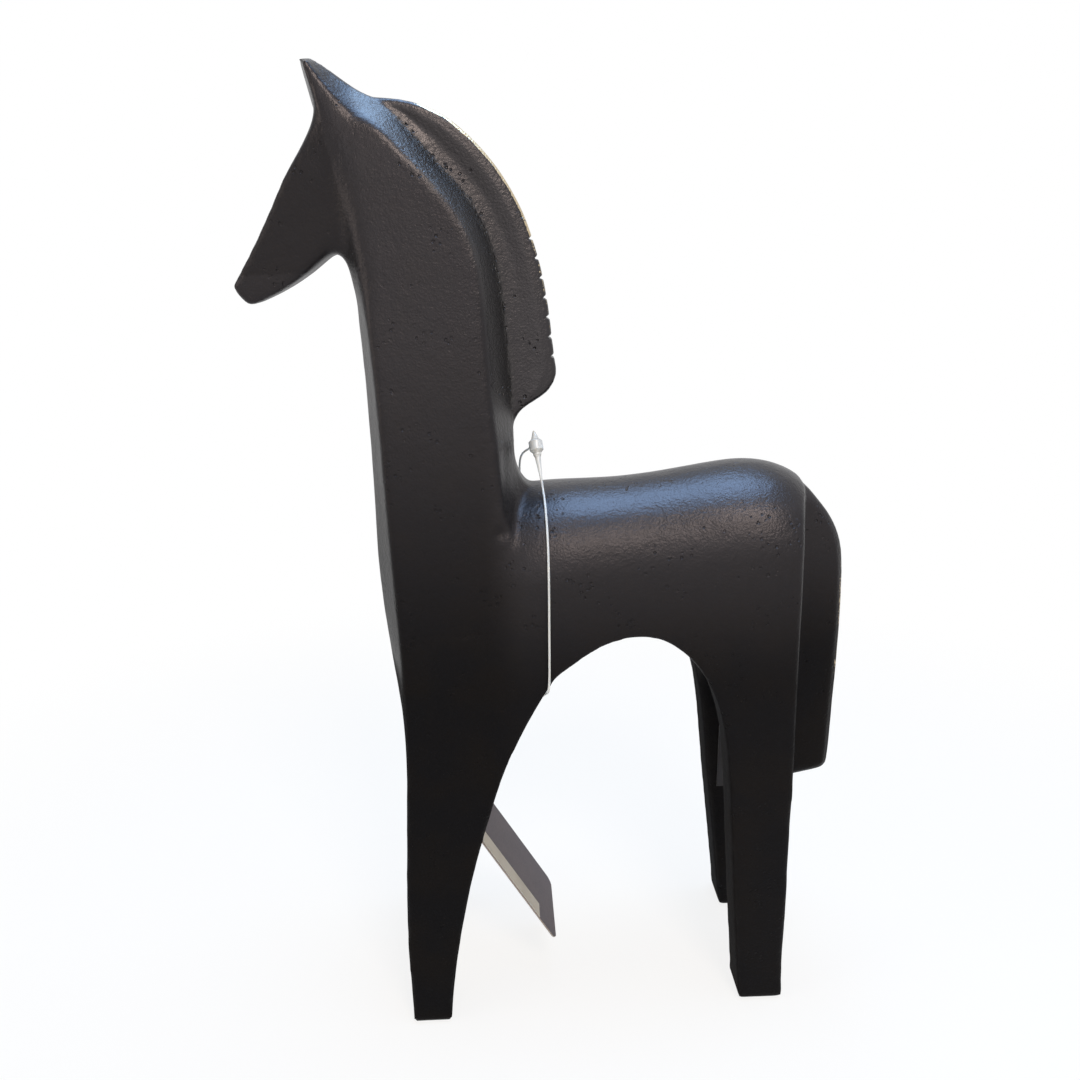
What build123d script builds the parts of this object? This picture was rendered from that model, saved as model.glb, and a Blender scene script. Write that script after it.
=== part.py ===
from build123d import *
import math
import os

# A cast metal horse standing on four legs, with a retail tag hung round its barrel.
# The horse faces -X, its left side is towards -Y, and Z = 0 is the floor.
# X = 0 is half way between the muzzle and the rear edge of the tail.

# Overall sizes of the horse
height = 300.0
length = 188.8
front_stance = 73.0
hind_stance = 66.0
crown_width = 23.6

# Legs and the spaces between them
front_leg_gap = 41.0
front_gap_top_width = 35.0
front_gap_height = 101.0
hind_leg_gap = 36.0
hind_gap_top_width = 29.0
hind_gap_height = 110.0
hind_stagger = 4.4
foot_edge_radius = 2.0

# Barrel, the rounded body behind the neck
withers_width = 49.0
barrel_width = 52.5
rump_width = 54.0
tail_root_width = 50.0
barrel_crown_rise = 27.0
haunch_end_width = 16.0

# Castings: walls, seams and the pins that line the halves up
wall = 5.0
joint_gap = 0.05
dowel_diameter = 5.0
dowel_length = 20.0
chest_web = 22.0
chest_dowel_rise = 10.6

# Mane, a thin crest let into the back of the neck
mane_root_thickness = 9.6
mane_tongue_thickness = 5.0
mane_edge_bevel = 1.1
mane_notch_width = 0.8
mane_notch_depth = 1.6
mane_notch_pitch = 5.9
mane_notch_inset = 4.0
mane_notch_count = 7

# Head, a wedge let into the front of the neck
head_root_width = 24.0
muzzle_width = 11.5
head_tenon_width = 8.0
head_tenon_height = 16.0
head_tenon_depth = 11.0

# Tail, a flat slab let into the rump
tail_thickness = 15.0
tail_tongue_thickness = 7.0
tail_tongue_depth = 7.0
tail_tongue_height = 30.0
tail_edge_bevel = 2.6
tail_foot_radius = 4.5

# Ears
ear_notch_width = 10.0
ear_notch_clearance = 0.3

# Felt pads under the feet
pad_thickness = 1.4
pad_recess = 1.1
pad_inset = 2.2

# Hang tag, its bare sticker and the bare sticker inside the far hind leg
tag_width = 34.0
tag_length = 60.0
tag_thickness = 0.5
tag_corner_radius = 3.0
tag_hole_diameter = 4.6
tag_hole_inset = 4.0
tag_tilt = 31.0
tag_sticker_width = 7.4
tag_sticker_length = 36.0
tag_sticker_thickness = 0.15
tag_sticker_foot_gap = 11.0
tag_sticker_margin = 0.3
leg_label_width = 12.0
leg_label_length = 42.0
leg_label_thickness = 0.2
leg_label_floor_gap = 54.0

# Loop pin: a nylon filament that snaps together at a plug and a socket
filament_diameter = 0.7
plug_stem_length = 7.2
plug_stem_diameter = 1.8
plug_hub_diameter = 2.6
plug_hub_length = 1.6
plug_shank_diameter = 1.7
plug_head_diameter = 2.6
plug_head_length = 2.8
plug_tip_diameter = 0.6
socket_diameter = 4.4
socket_length = 4.2
socket_bore = 1.9
socket_rim = 0.7
socket_lug_diameter = 1.6
socket_lug_length = 4.6
bend_share = 0.45
filament_route = [
    (-4.6, -8.7, 178.6), (-4.3, -9.9, 176.3), (-4.0, -13.6, 173.9), (-3.8, -19.3, 169.8),
    (-3.7, -25.4, 162.4), (-3.8, -28.9, 151.9), (-4.0, -30.2, 140.0), (-4.2, -31.3, 127.5),
    (-4.5, -31.2, 113.8), (-8.9, -25.2, 104.2), (-14.1, -18.8, 94.6), (-19.6, -12.9, 85.0),
    (-25.2, -7.8, 73.8), (-29.6, -3.8, 65.8), (-32.0, 0.0, 63.4), (-34.3, 2.6, 62.6),
    (-36.7, 4.8, 64.6), (-37.4, 7.0, 68.9), (-35.0, 9.0, 73.8), (-28.0, 10.6, 77.4),
    (-20.0, 12.6, 82.0), (-13.1, 19.2, 91.8), (-8.4, 25.4, 102.6), (-4.6, 30.9, 113.0),
    (-5.0, 31.4, 126.0), (-6.3, 30.9, 139.0), (-8.1, 29.2, 151.5), (-9.6, 26.0, 162.8),
    (-10.5, 21.0, 171.4), (-10.9, 15.2, 178.0), (-10.4, 9.6, 182.8), (-8.9, 5.0, 185.3),
    (-7.3, 0.5, 186.9),
]

cut_overrun = 12.0

# Side view outlines. The first number is a share of the length, measured from the
# middle, and the second is a share of the height.
mid_chest_shares = [
    (-0.275, 0.0), (-0.272, 0.233), (-0.279, 0.333), (-0.299, 0.453),
    (-0.303, 0.600), (-0.308, 0.750), (-0.315, 0.820),
]
mid_poll_front_shares = [(-0.315, 0.820), (-0.331, 0.893), (-0.354, 0.953)]
mid_ear_tip_shares = [(-0.370, 1.0), (-0.351, 1.0)]
mid_ear_back_shares = [(-0.351, 1.0), (-0.329, 0.991), (-0.309, 0.982), (-0.267, 0.967)]
crease_shares = [
    (-0.267, 0.967), (-0.2325, 0.950), (-0.168, 0.904), (-0.1245, 0.872), (-0.100, 0.842),
    (-0.0865, 0.811), (-0.0775, 0.768), (-0.0715, 0.717), (-0.067, 0.633),
]
mid_saddle_shares = [(-0.067, 0.633), (-0.066, 0.613), (-0.055, 0.593), (-0.021, 0.578)]

side_chest_shares = [
    (-0.2735, 0.0), (-0.270, 0.233), (-0.2635, 0.317), (-0.264, 0.437),
    (-0.274, 0.590), (-0.2915, 0.782), (-0.3035, 0.833),
]
side_poll_front_shares = [(-0.3035, 0.833), (-0.3235, 0.917), (-0.343, 0.953)]
side_ear_tip_shares = [(-0.3595, 0.9945), (-0.353, 0.9945)]
side_ear_back_shares = [(-0.353, 0.9945), (-0.336, 0.979), (-0.317, 0.964), (-0.2925, 0.945)]
ridge_shares = [
    (-0.2925, 0.945), (-0.2645, 0.939), (-0.2305, 0.920), (-0.1815, 0.889), (-0.1535, 0.866),
    (-0.126, 0.835), (-0.113, 0.798), (-0.1095, 0.752), (-0.104, 0.686), (-0.096, 0.633),
]
side_saddle_shares = [(-0.096, 0.633), (-0.0925, 0.600), (-0.084, 0.560), (-0.070, 0.520)]

# The arch under the belly, up the back of the front leg and down the front of the hind leg
arch_front_shares = [
    (-0.2085, 0.0), (-0.195, 0.069), (-0.167, 0.156), (-0.130, 0.240),
    (-0.0625, 0.346), (-0.012, 0.399),
]
arch_top_shares = [(-0.012, 0.399), (0.035, 0.420), (0.074, 0.4325), (0.123, 0.438), (0.165, 0.434)]
arch_hind_shares = [
    (0.165, 0.434), (0.200, 0.4195), (0.250, 0.377), (0.2785, 0.304), (0.2895, 0.195),
    (0.2985, 0.100), (0.3085, 0.0),
]
leg_rear_shares = [(0.393, 0.2856), (0.3855, 0.0)]

# Barrel sections: place along the length, top, and springing of the rounded crown
barrel_place_shares = [-0.106, 0.106, 0.265, 0.350, 0.425]
barrel_top_shares = [0.575, 0.588, 0.601, 0.6025, 0.582]
haunch_end_share = 0.419

# Head outline: forehead, muzzle, jaw and throat
forehead_shares = [
    (-0.345, 0.959), (-0.366, 0.931), (-0.388, 0.909), (-0.4325, 0.8625), (-0.4995, 0.796),
]
muzzle_shares = [(-0.4995, 0.796), (-0.490, 0.785), (-0.4765, 0.777)]
jaw_shares = [(-0.4765, 0.777), (-0.438, 0.7863), (-0.379, 0.808), (-0.341, 0.826)]
throat_shares = [(-0.341, 0.826), (-0.330, 0.8255), (-0.320, 0.816), (-0.3135, 0.790)]
head_seat_shares = [(-0.270, 0.800), (-0.285, 0.925)]
head_tenon_share = (-0.3365, 0.893)

# Mane outline: the free edge from the poll down to the root end
mane_edge_shares = [
    (-0.267, 0.967), (-0.233, 0.9655), (-0.1965, 0.9605), (-0.158, 0.949), (-0.117, 0.9275),
    (-0.086, 0.9055), (-0.0625, 0.883), (-0.0445, 0.861), (-0.031, 0.838), (-0.0205, 0.8145),
    (-0.0064, 0.768), (0.0, 0.731), (0.0053, 0.707),
]
mane_foot_shares = [(0.0053, 0.707), (0.0016, 0.695), (-0.0122, 0.6827), (-0.041, 0.671), (-0.066, 0.652)]
mane_root_shares = [(-0.066, 0.652), (-0.110, 0.660), (-0.160, 0.800), (-0.255, 0.925), (-0.267, 0.967)]
mane_tongue_shift_share = (-0.021, -0.012)

# Tail outline: the free edge from the rump down
tail_edge_shares = [
    (0.398, 0.586), (0.419, 0.581), (0.432, 0.574), (0.449, 0.5615), (0.466, 0.548),
    (0.488, 0.521), (0.4985, 0.473), (0.500, 0.4375), (0.499, 0.381), (0.4965, 0.314),
    (0.4945, 0.268), (0.4925, 0.240),
]
tail_front_shares = [(0.4925, 0.240), (0.400, 0.2285), (0.398, 0.350), (0.390, 0.570), (0.398, 0.586)]
tail_tongue_share = (0.419, 0.483)

# Hollow left by the sand core, in the same shares
neck_core_shares = [
    (-0.240, 0.300), (-0.240, 0.410), (-0.244, 0.480), (-0.268, 0.770), (-0.225, 0.820),
    (-0.160, 0.800), (-0.135, 0.700), (-0.125, 0.560), (-0.100, 0.470), (-0.135, 0.410),
    (-0.135, 0.300),
]
barrel_core_shares = [
    (-0.170, 0.470), (-0.170, 0.540), (-0.040, 0.548), (0.120, 0.556), (0.330, 0.562),
    (0.355, 0.535), (0.355, 0.500), (0.120, 0.478), (0.000, 0.470),
]

neck_dowel_share = (-0.225, 0.872)
chest_dowel_share = -0.190
rump_dowel_share = (0.325, 0.435)

# Place of the tag's hole, as shares in the side view
tag_hole_share = (-0.1695, 0.21133)

half_front = front_stance / 2
half_hind = hind_stance / 2
half_crown = crown_width / 2
side_lean = (half_front - half_crown) / height
mid_half = mane_root_thickness / 2


def side_half_width(level):
    """Half the width across the flat side faces of the neck and front legs at a level."""
    return half_front - side_lean * level


def spot(share, shift=0.0):
    """A point of the side view from its shares of the length and the height."""
    return (share[0] * length + shift, share[1] * height)


def spots(shares, shift=0.0):
    """The points of a side view curve."""
    return [spot(share, shift) for share in shares]


def on_side(share):
    """A point of the leaning side face, from its shares in the side view."""
    place, level = spot(share)
    return (place, level * math.hypot(1, side_lean))


# The flat side face leans inwards from the floor to the ears
side_plane = Plane(
    origin=(0, -half_front, 0), x_dir=(1, 0, 0), z_dir=(0, -1, side_lean)
)
mid_plane = Plane.XZ.offset(mid_half)

# Outline of the neck and chest at the middle of the neck
with BuildSketch(mid_plane) as mid_outline:
    with BuildLine():
        Spline(*spots(mid_chest_shares))
        Spline(*spots(mid_poll_front_shares))
        Line(spot(mid_poll_front_shares[-1]), spot(mid_ear_tip_shares[0]))
        Line(spot(mid_ear_tip_shares[0]), spot(mid_ear_tip_shares[1]))
        Spline(*spots(mid_ear_back_shares))
        Spline(*spots(crease_shares))
        Spline(*spots(mid_saddle_shares))
        Polyline(spot(mid_saddle_shares[-1]), (spot(mid_saddle_shares[-1])[0], 0))
        Line((spot(mid_saddle_shares[-1])[0], 0), spot(mid_chest_shares[0]))
    make_face()

# The same outline where it meets the flat side face
with BuildSketch(side_plane) as side_outline:
    with BuildLine():
        Spline(*[on_side(share) for share in side_chest_shares])
        Spline(*[on_side(share) for share in side_poll_front_shares])
        Line(on_side(side_poll_front_shares[-1]), on_side(side_ear_tip_shares[0]))
        Line(on_side(side_ear_tip_shares[0]), on_side(side_ear_tip_shares[1]))
        Spline(*[on_side(share) for share in side_ear_back_shares])
        Spline(*[on_side(share) for share in ridge_shares])
        Spline(*[on_side(share) for share in side_saddle_shares])
        Line(on_side(side_saddle_shares[-1]), (on_side(side_saddle_shares[-1])[0], 0))
        Line((on_side(side_saddle_shares[-1])[0], 0), on_side(side_chest_shares[0]))
    make_face()

# Neck and chest: a slab with bevelled front and back, as wide as the side faces
with BuildPart() as front_slab:
    loft([mid_outline.sketch, side_outline.sketch], ruled=True)
    mirror(about=Plane.XZ)
    extrude(mid_outline.sketch, amount=-mane_root_thickness)


# Barrel, haunches and hind legs as one swept form before the legs are opened out
barrel_widths = [withers_width, barrel_width, barrel_width, rump_width, tail_root_width]
floor_step = (front_stance - hind_stance) / 2
barrel_floor_widths = [
    front_stance, hind_stance + floor_step, hind_stance, hind_stance, hind_stance,
]
with BuildPart() as barrel:
    for place, top, crown, floor in zip(
        barrel_place_shares, barrel_top_shares, barrel_widths, barrel_floor_widths
    ):
        spring = top * height - barrel_crown_rise
        with BuildSketch(Plane.YZ.offset(place * length)):
            with BuildLine():
                EllipticalCenterArc((0, spring), crown / 2, barrel_crown_rise, start_angle=0, arc_size=180)
                Polyline((-crown / 2, spring), (-floor / 2, 0), (floor / 2, 0), (crown / 2, spring))
            make_face()
    loft()


def leaned(share, stagger):
    """A side view point of a hind leg that leans back to a foot shifted by the stagger."""
    return spot(share, stagger * (1 - share[1] / leg_rear_shares[0][1]))


def leg_cuts(stagger):
    """The arch under the belly and the space behind a hind leg, as one side view face."""
    foot_front, foot_rear = arch_front_shares[0], arch_hind_shares[-1]
    with BuildSketch(Plane.XZ) as cuts:
        with BuildLine():
            Spline(*spots(arch_front_shares))
            Spline(*spots(arch_top_shares))
            Spline(
                spot(arch_hind_shares[0]),
                *[leaned(share, stagger) for share in arch_hind_shares[1:]],
            )
            Polyline(
                leaned(foot_rear, stagger),
                (leaned(foot_rear, stagger)[0], -cut_overrun),
                (spot(foot_front)[0], -cut_overrun),
                spot(foot_front),
            )
        make_face()
        with BuildLine():
            Polyline(
                spot(leg_rear_shares[0]),
                leaned(leg_rear_shares[1], stagger),
                (leaned(leg_rear_shares[1], stagger)[0], -cut_overrun),
                (length, -cut_overrun),
                (length, spot(leg_rear_shares[0])[1]),
                close=True,
            )
        make_face()
    return cuts.sketch


def leg_gap(gap, top_width, top_level):
    """The front view of the space between a pair of legs, rounded at its top."""
    radius = top_width / 2
    with BuildSketch(Plane.YZ) as space:
        with BuildLine():
            CenterArc((0, top_level - radius), radius, 0, 180)
            Polyline(
                (-radius, top_level - radius), (-gap / 2, 0), (-gap / 2, -cut_overrun),
                (gap / 2, -cut_overrun), (gap / 2, 0), (radius, top_level - radius),
            )
        make_face()
    return space.sketch


haunch_edge = spot(leg_rear_shares[0])[0]
haunch_end = haunch_end_share * length
foot_level = pad_thickness - pad_recess
ear_notch_floor = spot(forehead_shares[0])[1] + ear_notch_clearance

front_space = leg_gap(front_leg_gap, front_gap_top_width, front_gap_height)
hind_space = leg_gap(hind_leg_gap, hind_gap_top_width, hind_gap_height)

# Envelope of the body before it is hollowed and halved
with BuildPart() as body:
    add(front_slab.part)
    add(barrel.part)
    with BuildSketch(Plane.XY.offset(spot(leg_rear_shares[0])[1])):
        Polygon(
            (haunch_edge, -half_front), (haunch_edge, -rump_width / 2),
            (haunch_end, -haunch_end_width / 2), (haunch_end, haunch_end_width / 2),
            (haunch_edge, rump_width / 2), (haunch_edge, half_front),
            (haunch_end + length / 2, half_front), (haunch_end + length / 2, -half_front),
            align=None,
        )
    extrude(amount=height, mode=Mode.SUBTRACT)
    extrude(front_space, amount=-length, mode=Mode.SUBTRACT)
    extrude(hind_space, amount=length, mode=Mode.SUBTRACT)
    with BuildSketch(Plane.XY.offset(foot_level)):
        Rectangle(2 * length, 2 * front_stance)
    extrude(amount=-cut_overrun, mode=Mode.SUBTRACT)
    with BuildSketch(Plane.YZ.offset(-length / 2)):
        Polygon(
            (0, ear_notch_floor), (ear_notch_width, 2 * height - ear_notch_floor),
            (-ear_notch_width, 2 * height - ear_notch_floor), align=None,
        )
    extrude(amount=length / 2, mode=Mode.SUBTRACT)


# Sand core hollow: the neck narrows upwards with the side faces, the barrel is rounded
core_levels = (front_gap_height + chest_web, neck_core_shares[4][1] * height)
core_halves = [side_half_width(level) - wall for level in core_levels]
barrel_core_half = withers_width / 2 - wall
barrel_core_spring = barrel_top_shares[0] * height - barrel_crown_rise
barrel_core_rise = barrel_crown_rise - wall
with BuildPart() as neck_core:
    with BuildSketch(Plane.XZ):
        with BuildLine():
            Polyline(*spots(neck_core_shares), close=True)
        make_face()
    extrude(amount=half_front, both=True)
    with BuildSketch(Plane.YZ):
        Polygon(
            (-core_halves[0], core_levels[0]), (core_halves[0], core_levels[0]),
            (core_halves[1], core_levels[1]), (-core_halves[1], core_levels[1]),
            align=None,
        )
    extrude(amount=length, both=True, mode=Mode.INTERSECT)

with BuildPart() as barrel_core:
    with BuildSketch(Plane.XZ):
        with BuildLine():
            Polyline(*spots(barrel_core_shares), close=True)
        make_face()
    extrude(amount=half_front, both=True)
    with BuildSketch(Plane.YZ):
        with BuildLine():
            EllipticalCenterArc(
                (0, barrel_core_spring), barrel_core_half, barrel_core_rise,
                start_angle=0, arc_size=180,
            )
            Polyline(
                (-barrel_core_half, barrel_core_spring), (-barrel_core_half, 0),
                (barrel_core_half, 0), (barrel_core_half, barrel_core_spring),
            )
        make_face()
    extrude(amount=length, both=True, mode=Mode.INTERSECT)

# Head, with the tenon that the two halves close on
head_axis_start = Vector(spot(muzzle_shares[1])[0], 0, spot(muzzle_shares[1])[1])
head_axis_end = Vector(spot(mid_poll_front_shares[1])[0], 0, spot(mid_poll_front_shares[1])[1])
head_axis = (head_axis_end - head_axis_start).normalized()
head_reach = (head_axis_end - head_axis_start).length
head_plane = Plane(
    origin=head_axis_start, x_dir=head_axis, z_dir=Vector(-head_axis.Z, 0, head_axis.X)
)
tenon_plane = Plane(
    origin=(spot(head_tenon_share)[0], 0, spot(head_tenon_share)[1]), x_dir=(0, 1, 0), z_dir=(-1, 0, 0)
)
with BuildPart() as head:
    with BuildSketch(Plane.XZ):
        with BuildLine():
            Spline(*spots(forehead_shares))
            Spline(*spots(muzzle_shares))
            Spline(*spots(jaw_shares))
            Spline(*spots(throat_shares))
            Polyline(
                spot(throat_shares[-1]), spot(head_seat_shares[0]), spot(head_seat_shares[1]),
                spot(forehead_shares[0]),
            )
        make_face()
    extrude(amount=head_root_width, both=True)
    with BuildSketch(head_plane):
        Polygon(
            (-head_reach, -muzzle_width / 2), (0, -muzzle_width / 2),
            (head_reach, -head_root_width / 2), (2 * head_reach, -head_root_width / 2),
            (2 * head_reach, head_root_width / 2), (head_reach, head_root_width / 2),
            (0, muzzle_width / 2), (-head_reach, muzzle_width / 2),
            align=None,
        )
    extrude(amount=2 * head_reach, both=True, mode=Mode.INTERSECT)
    add(body.part, mode=Mode.SUBTRACT)
    with BuildSketch(tenon_plane):
        Rectangle(head_tenon_width, head_tenon_height)
    extrude(amount=-head_tenon_depth, both=False)

with BuildPart() as head_pocket:
    with BuildSketch(tenon_plane):
        Rectangle(head_tenon_width + 2 * joint_gap, head_tenon_height + 2 * joint_gap)
    extrude(amount=-head_tenon_depth - joint_gap)

# Mane: the crest sits on the back of the neck, its tongue in a slot between the halves
tongue_shift = spot(mane_tongue_shift_share)
tongue_curve = spots(crease_shares[1:-1])
seat_curve = [(x - tongue_shift[0] / 4, z - tongue_shift[1] / 4) for x, z in tongue_curve]
root_curve = [(x + tongue_shift[0], z + tongue_shift[1]) for x, z in tongue_curve]
with BuildSketch(Plane.XZ) as tongue_outline:
    with BuildLine():
        Polyline(*seat_curve, *reversed(root_curve), close=True)
    make_face()

with BuildPart() as mane_slot:
    with BuildSketch(Plane.XZ):
        offset(tongue_outline.sketch_local, amount=joint_gap)
    extrude(amount=mane_tongue_thickness / 2 + joint_gap, both=True)

with BuildLine(Plane.XZ) as mane_edge:
    Spline(*spots(mane_edge_shares))
mane_rim_curve = mane_edge.edges()[0]
mane_edge_length = mane_rim_curve.length
with BuildPart() as mane_crest:
    with BuildSketch(Plane.XZ):
        with BuildLine():
            Spline(*spots(mane_edge_shares))
            Spline(*spots(mane_foot_shares))
            Polyline(*spots(mane_root_shares))
        make_face()
    extrude(amount=mid_half, both=True)
    rim = mane_crest.edges().filter_by(
        lambda edge: edge.geom_type == GeomType.BSPLINE and abs(edge.center().Y) > mane_edge_bevel
    )
    chamfer(rim, mane_edge_bevel)
    add(body.part, mode=Mode.SUBTRACT)
    extrude(tongue_outline.sketch, amount=mane_tongue_thickness / 2, both=True)
    for notch in range(mane_notch_count):
        share = 1 - (mane_notch_inset + notch * mane_notch_pitch) / mane_edge_length
        notch_plane = Plane(
            origin=mane_rim_curve @ share, x_dir=mane_rim_curve % share, z_dir=(0, -1, 0)
        )
        with Locations(notch_plane):
            Box(mane_notch_width, 2 * mane_notch_depth, mane_root_thickness, mode=Mode.SUBTRACT)

# Tail: a slab on the end of the rump, with a tongue between the two halves
with BuildPart() as tail:
    with BuildSketch(Plane.XZ) as tail_outline:
        with BuildLine():
            Spline(*spots(tail_edge_shares))
            Polyline(*spots(tail_front_shares))
        make_face()
        fillet(tail_outline.vertices().sort_by(Axis.Y)[:2].sort_by(Axis.X)[-1], tail_foot_radius)
    extrude(amount=tail_thickness / 2, both=True)
    tail_rim = tail.edges().filter_by(
        lambda edge: edge.center().X > haunch_end and abs(edge.center().Y) > tail_edge_bevel
    )
    chamfer(tail_rim, tail_edge_bevel)
    add(body.part, mode=Mode.SUBTRACT)
    with BuildSketch(Plane.YZ.offset(haunch_end)):
        with Locations((0, spot(tail_tongue_share)[1])):
            Rectangle(tail_tongue_thickness, tail_tongue_height)
    extrude(amount=-tail_tongue_depth)

with BuildPart() as tail_slot:
    with BuildSketch(Plane.YZ.offset(haunch_end)):
        with Locations((0, spot(tail_tongue_share)[1])):
            Rectangle(tail_tongue_thickness + 2 * joint_gap, tail_tongue_height + 2 * joint_gap)
    extrude(amount=-tail_tongue_depth - joint_gap)

# Feet: centres and sizes of the four soles, then the pads glued into them
front_foot_length = spot(arch_front_shares[0])[0] - spot(mid_chest_shares[0])[0]
hind_foot_length = spot(leg_rear_shares[1])[0] - spot(arch_hind_shares[-1])[0]
front_foot_width = half_front - front_leg_gap / 2
hind_foot_width = half_hind - hind_leg_gap / 2
front_foot_place = spot(mid_chest_shares[0])[0] + front_foot_length / 2
hind_foot_place = spot(arch_hind_shares[-1])[0] + hind_foot_length / 2
front_foot_side = (half_front + front_leg_gap / 2) / 2
hind_foot_side = (half_hind + hind_leg_gap / 2) / 2


soles = {
    "front_left_pad": (front_foot_place, -front_foot_side, front_foot_length, front_foot_width),
    "front_right_pad": (front_foot_place, front_foot_side, front_foot_length, front_foot_width),
    "hind_left_pad": (hind_foot_place, -hind_foot_side, hind_foot_length, hind_foot_width),
    "hind_right_pad": (
        hind_foot_place + hind_stagger, hind_foot_side, hind_foot_length, hind_foot_width
    ),
}


def foot_pad(place, side, foot_length, foot_width, gap=0.0):
    """A rounded pad under one sole, or the recess it sits in when a gap is given."""
    with BuildPart() as pad:
        with BuildSketch(Plane.XY):
            with Locations((place, side)):
                RectangleRounded(
                    foot_length - 2 * pad_inset + 2 * gap,
                    foot_width - 2 * pad_inset + 2 * gap,
                    pad_inset,
                )
        extrude(amount=pad_thickness + gap)
    return pad


dowel_places = {
    "neck_dowel": spot(neck_dowel_share),
    "chest_dowel": (chest_dowel_share * length, front_gap_height + chest_dowel_rise),
    "rump_dowel": spot(rump_dowel_share),
}


def dowel(place, gap=0.0):
    """A pin across the seam between the two halves, or its hole when a gap is given."""
    with BuildPart() as pin:
        with BuildSketch(Plane.XZ):
            with Locations(place):
                Circle(dowel_diameter / 2 + gap)
        extrude(amount=dowel_length / 2 + gap, both=True)
    return pin


# The hollow casting, before it is cut into its two halves
dowel_holes = [dowel(place, joint_gap).part for place in dowel_places.values()]
with BuildPart() as casting:
    add(body.part)
    for hollow in (neck_core, barrel_core, head_pocket, mane_slot, tail_slot):
        add(hollow.part, mode=Mode.SUBTRACT)
    add(dowel_holes, mode=Mode.SUBTRACT)


def casting_half(keep, side_reach, stagger, pad_names):
    """One half of the casting, with its arch, its rounded feet and the recesses for its pads."""
    side_view_cuts = leg_cuts(stagger)
    pad_recesses = [foot_pad(*soles[name], joint_gap).part for name in pad_names]
    with BuildPart() as half:
        add(casting.part)
        split(bisect_by=Plane.XZ, keep=keep)
        extrude(side_view_cuts, amount=side_reach, mode=Mode.SUBTRACT)
        foot_faces = half.faces().filter_by(Axis.Z).sort_by(Axis.Z)[:2]
        fillet(foot_faces.edges(), foot_edge_radius)
        add(pad_recesses, mode=Mode.SUBTRACT)
    return half


left_body_half = casting_half(
    Keep.TOP, half_front + cut_overrun, 0, ("front_left_pad", "hind_left_pad")
)
right_body_half = casting_half(
    Keep.BOTTOM, -half_front - cut_overrun, hind_stagger, ("front_right_pad", "hind_right_pad")
)

# Bare sticker on the inner face of the far hind leg
hind_inner_lean = (hind_leg_gap - hind_gap_top_width) / 2 / (hind_gap_height - hind_gap_top_width / 2)
leg_label_level = leg_label_floor_gap + leg_label_length / 2
leg_label_plane = Plane(
    origin=(hind_foot_place, hind_leg_gap / 2 - hind_inner_lean * leg_label_level, leg_label_level),
    x_dir=(1, 0, 0),
    z_dir=(0, -1, -hind_inner_lean),
)
with BuildPart() as leg_label:
    with BuildSketch(leg_label_plane):
        Rectangle(leg_label_width, leg_label_length)
    extrude(amount=leg_label_thickness)

# Hang tag, tilted about the hole that the filament passes through
tilt = math.radians(tag_tilt)
tag_hole = (spot(tag_hole_share)[0], 0, spot(tag_hole_share)[1])
tag_plane = Plane(
    origin=tag_hole, x_dir=(0, 1, 0), z_dir=(math.cos(tilt), 0, math.sin(tilt))
).offset(-tag_thickness / 2)
tag_foot = tag_hole_inset - tag_length
with BuildPart() as hang_tag:
    with BuildSketch(tag_plane):
        with Locations((0, (tag_hole_inset + tag_foot) / 2)):
            RectangleRounded(tag_width, tag_length, tag_corner_radius)
        Circle(tag_hole_diameter / 2, mode=Mode.SUBTRACT)
    extrude(amount=tag_thickness)

with BuildPart() as tag_sticker:
    with BuildSketch(tag_plane.offset(tag_thickness)):
        with Locations((
            tag_sticker_width / 2 - tag_width / 2 + tag_sticker_margin,
            tag_foot + tag_sticker_foot_gap + tag_sticker_length / 2,
        )):
            Rectangle(tag_sticker_width, tag_sticker_length)
    extrude(amount=tag_sticker_thickness)


def corner_radii(route):
    """The bend radius at each corner, as large as its two runs leave room for."""
    radii = []
    for before, corner, after in zip(route, route[1:], route[2:]):
        run_in = Vector(*corner) - Vector(*before)
        run_out = Vector(*after) - Vector(*corner)
        half_turn = math.radians(run_in.get_angle(run_out)) / 2
        radii.append(bend_share * min(run_in.length, run_out.length) / math.tan(half_turn))
    return radii


# Filament of the loop pin, from the plug round the barrel, through the tag and back
plug_axis = (Vector(*filament_route[0]) - Vector(*filament_route[1])).normalized()
lug_axis = (Vector(*filament_route[-1]) - Vector(*filament_route[-2])).normalized()
with BuildPart() as tag_filament:
    with BuildLine() as filament_path:
        FilletPolyline(*filament_route, radius=corner_radii(filament_route))
    with BuildSketch(Plane(origin=filament_route[0], z_dir=-plug_axis)):
        Circle(filament_diameter / 2)
    sweep()

# Plug: stem, hub, shank and pointed head, turned about the line of the filament's first run
plug_plane = Plane(origin=filament_route[0], x_dir=plug_axis.cross(Vector(0, 1, 0)), z_dir=plug_axis)
hub_start = plug_stem_length
hub_end = hub_start + plug_hub_length
socket_start = hub_end + joint_gap
socket_end = socket_start + socket_length
head_start = socket_end + joint_gap
head_end = head_start + plug_head_length
side_of_plug = Plane(origin=plug_plane.origin, x_dir=plug_plane.x_dir, z_dir=-plug_plane.y_dir)
with BuildPart() as lock_plug:
    with BuildSketch(side_of_plug):
        with BuildLine():
            Polyline(
                (0, 0), (filament_diameter / 2, 0), (plug_stem_diameter / 2, hub_start),
                (plug_hub_diameter / 2, hub_start + plug_hub_length / 2),
                (plug_hub_diameter / 2, hub_end), (plug_shank_diameter / 2, hub_end),
                (plug_shank_diameter / 2, head_start), (plug_head_diameter / 2, head_start),
                (plug_tip_diameter / 2, head_end), (0, head_end), close=True,
            )
        make_face()
    revolve(axis=Axis(plug_plane.origin, plug_plane.z_dir))

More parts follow.
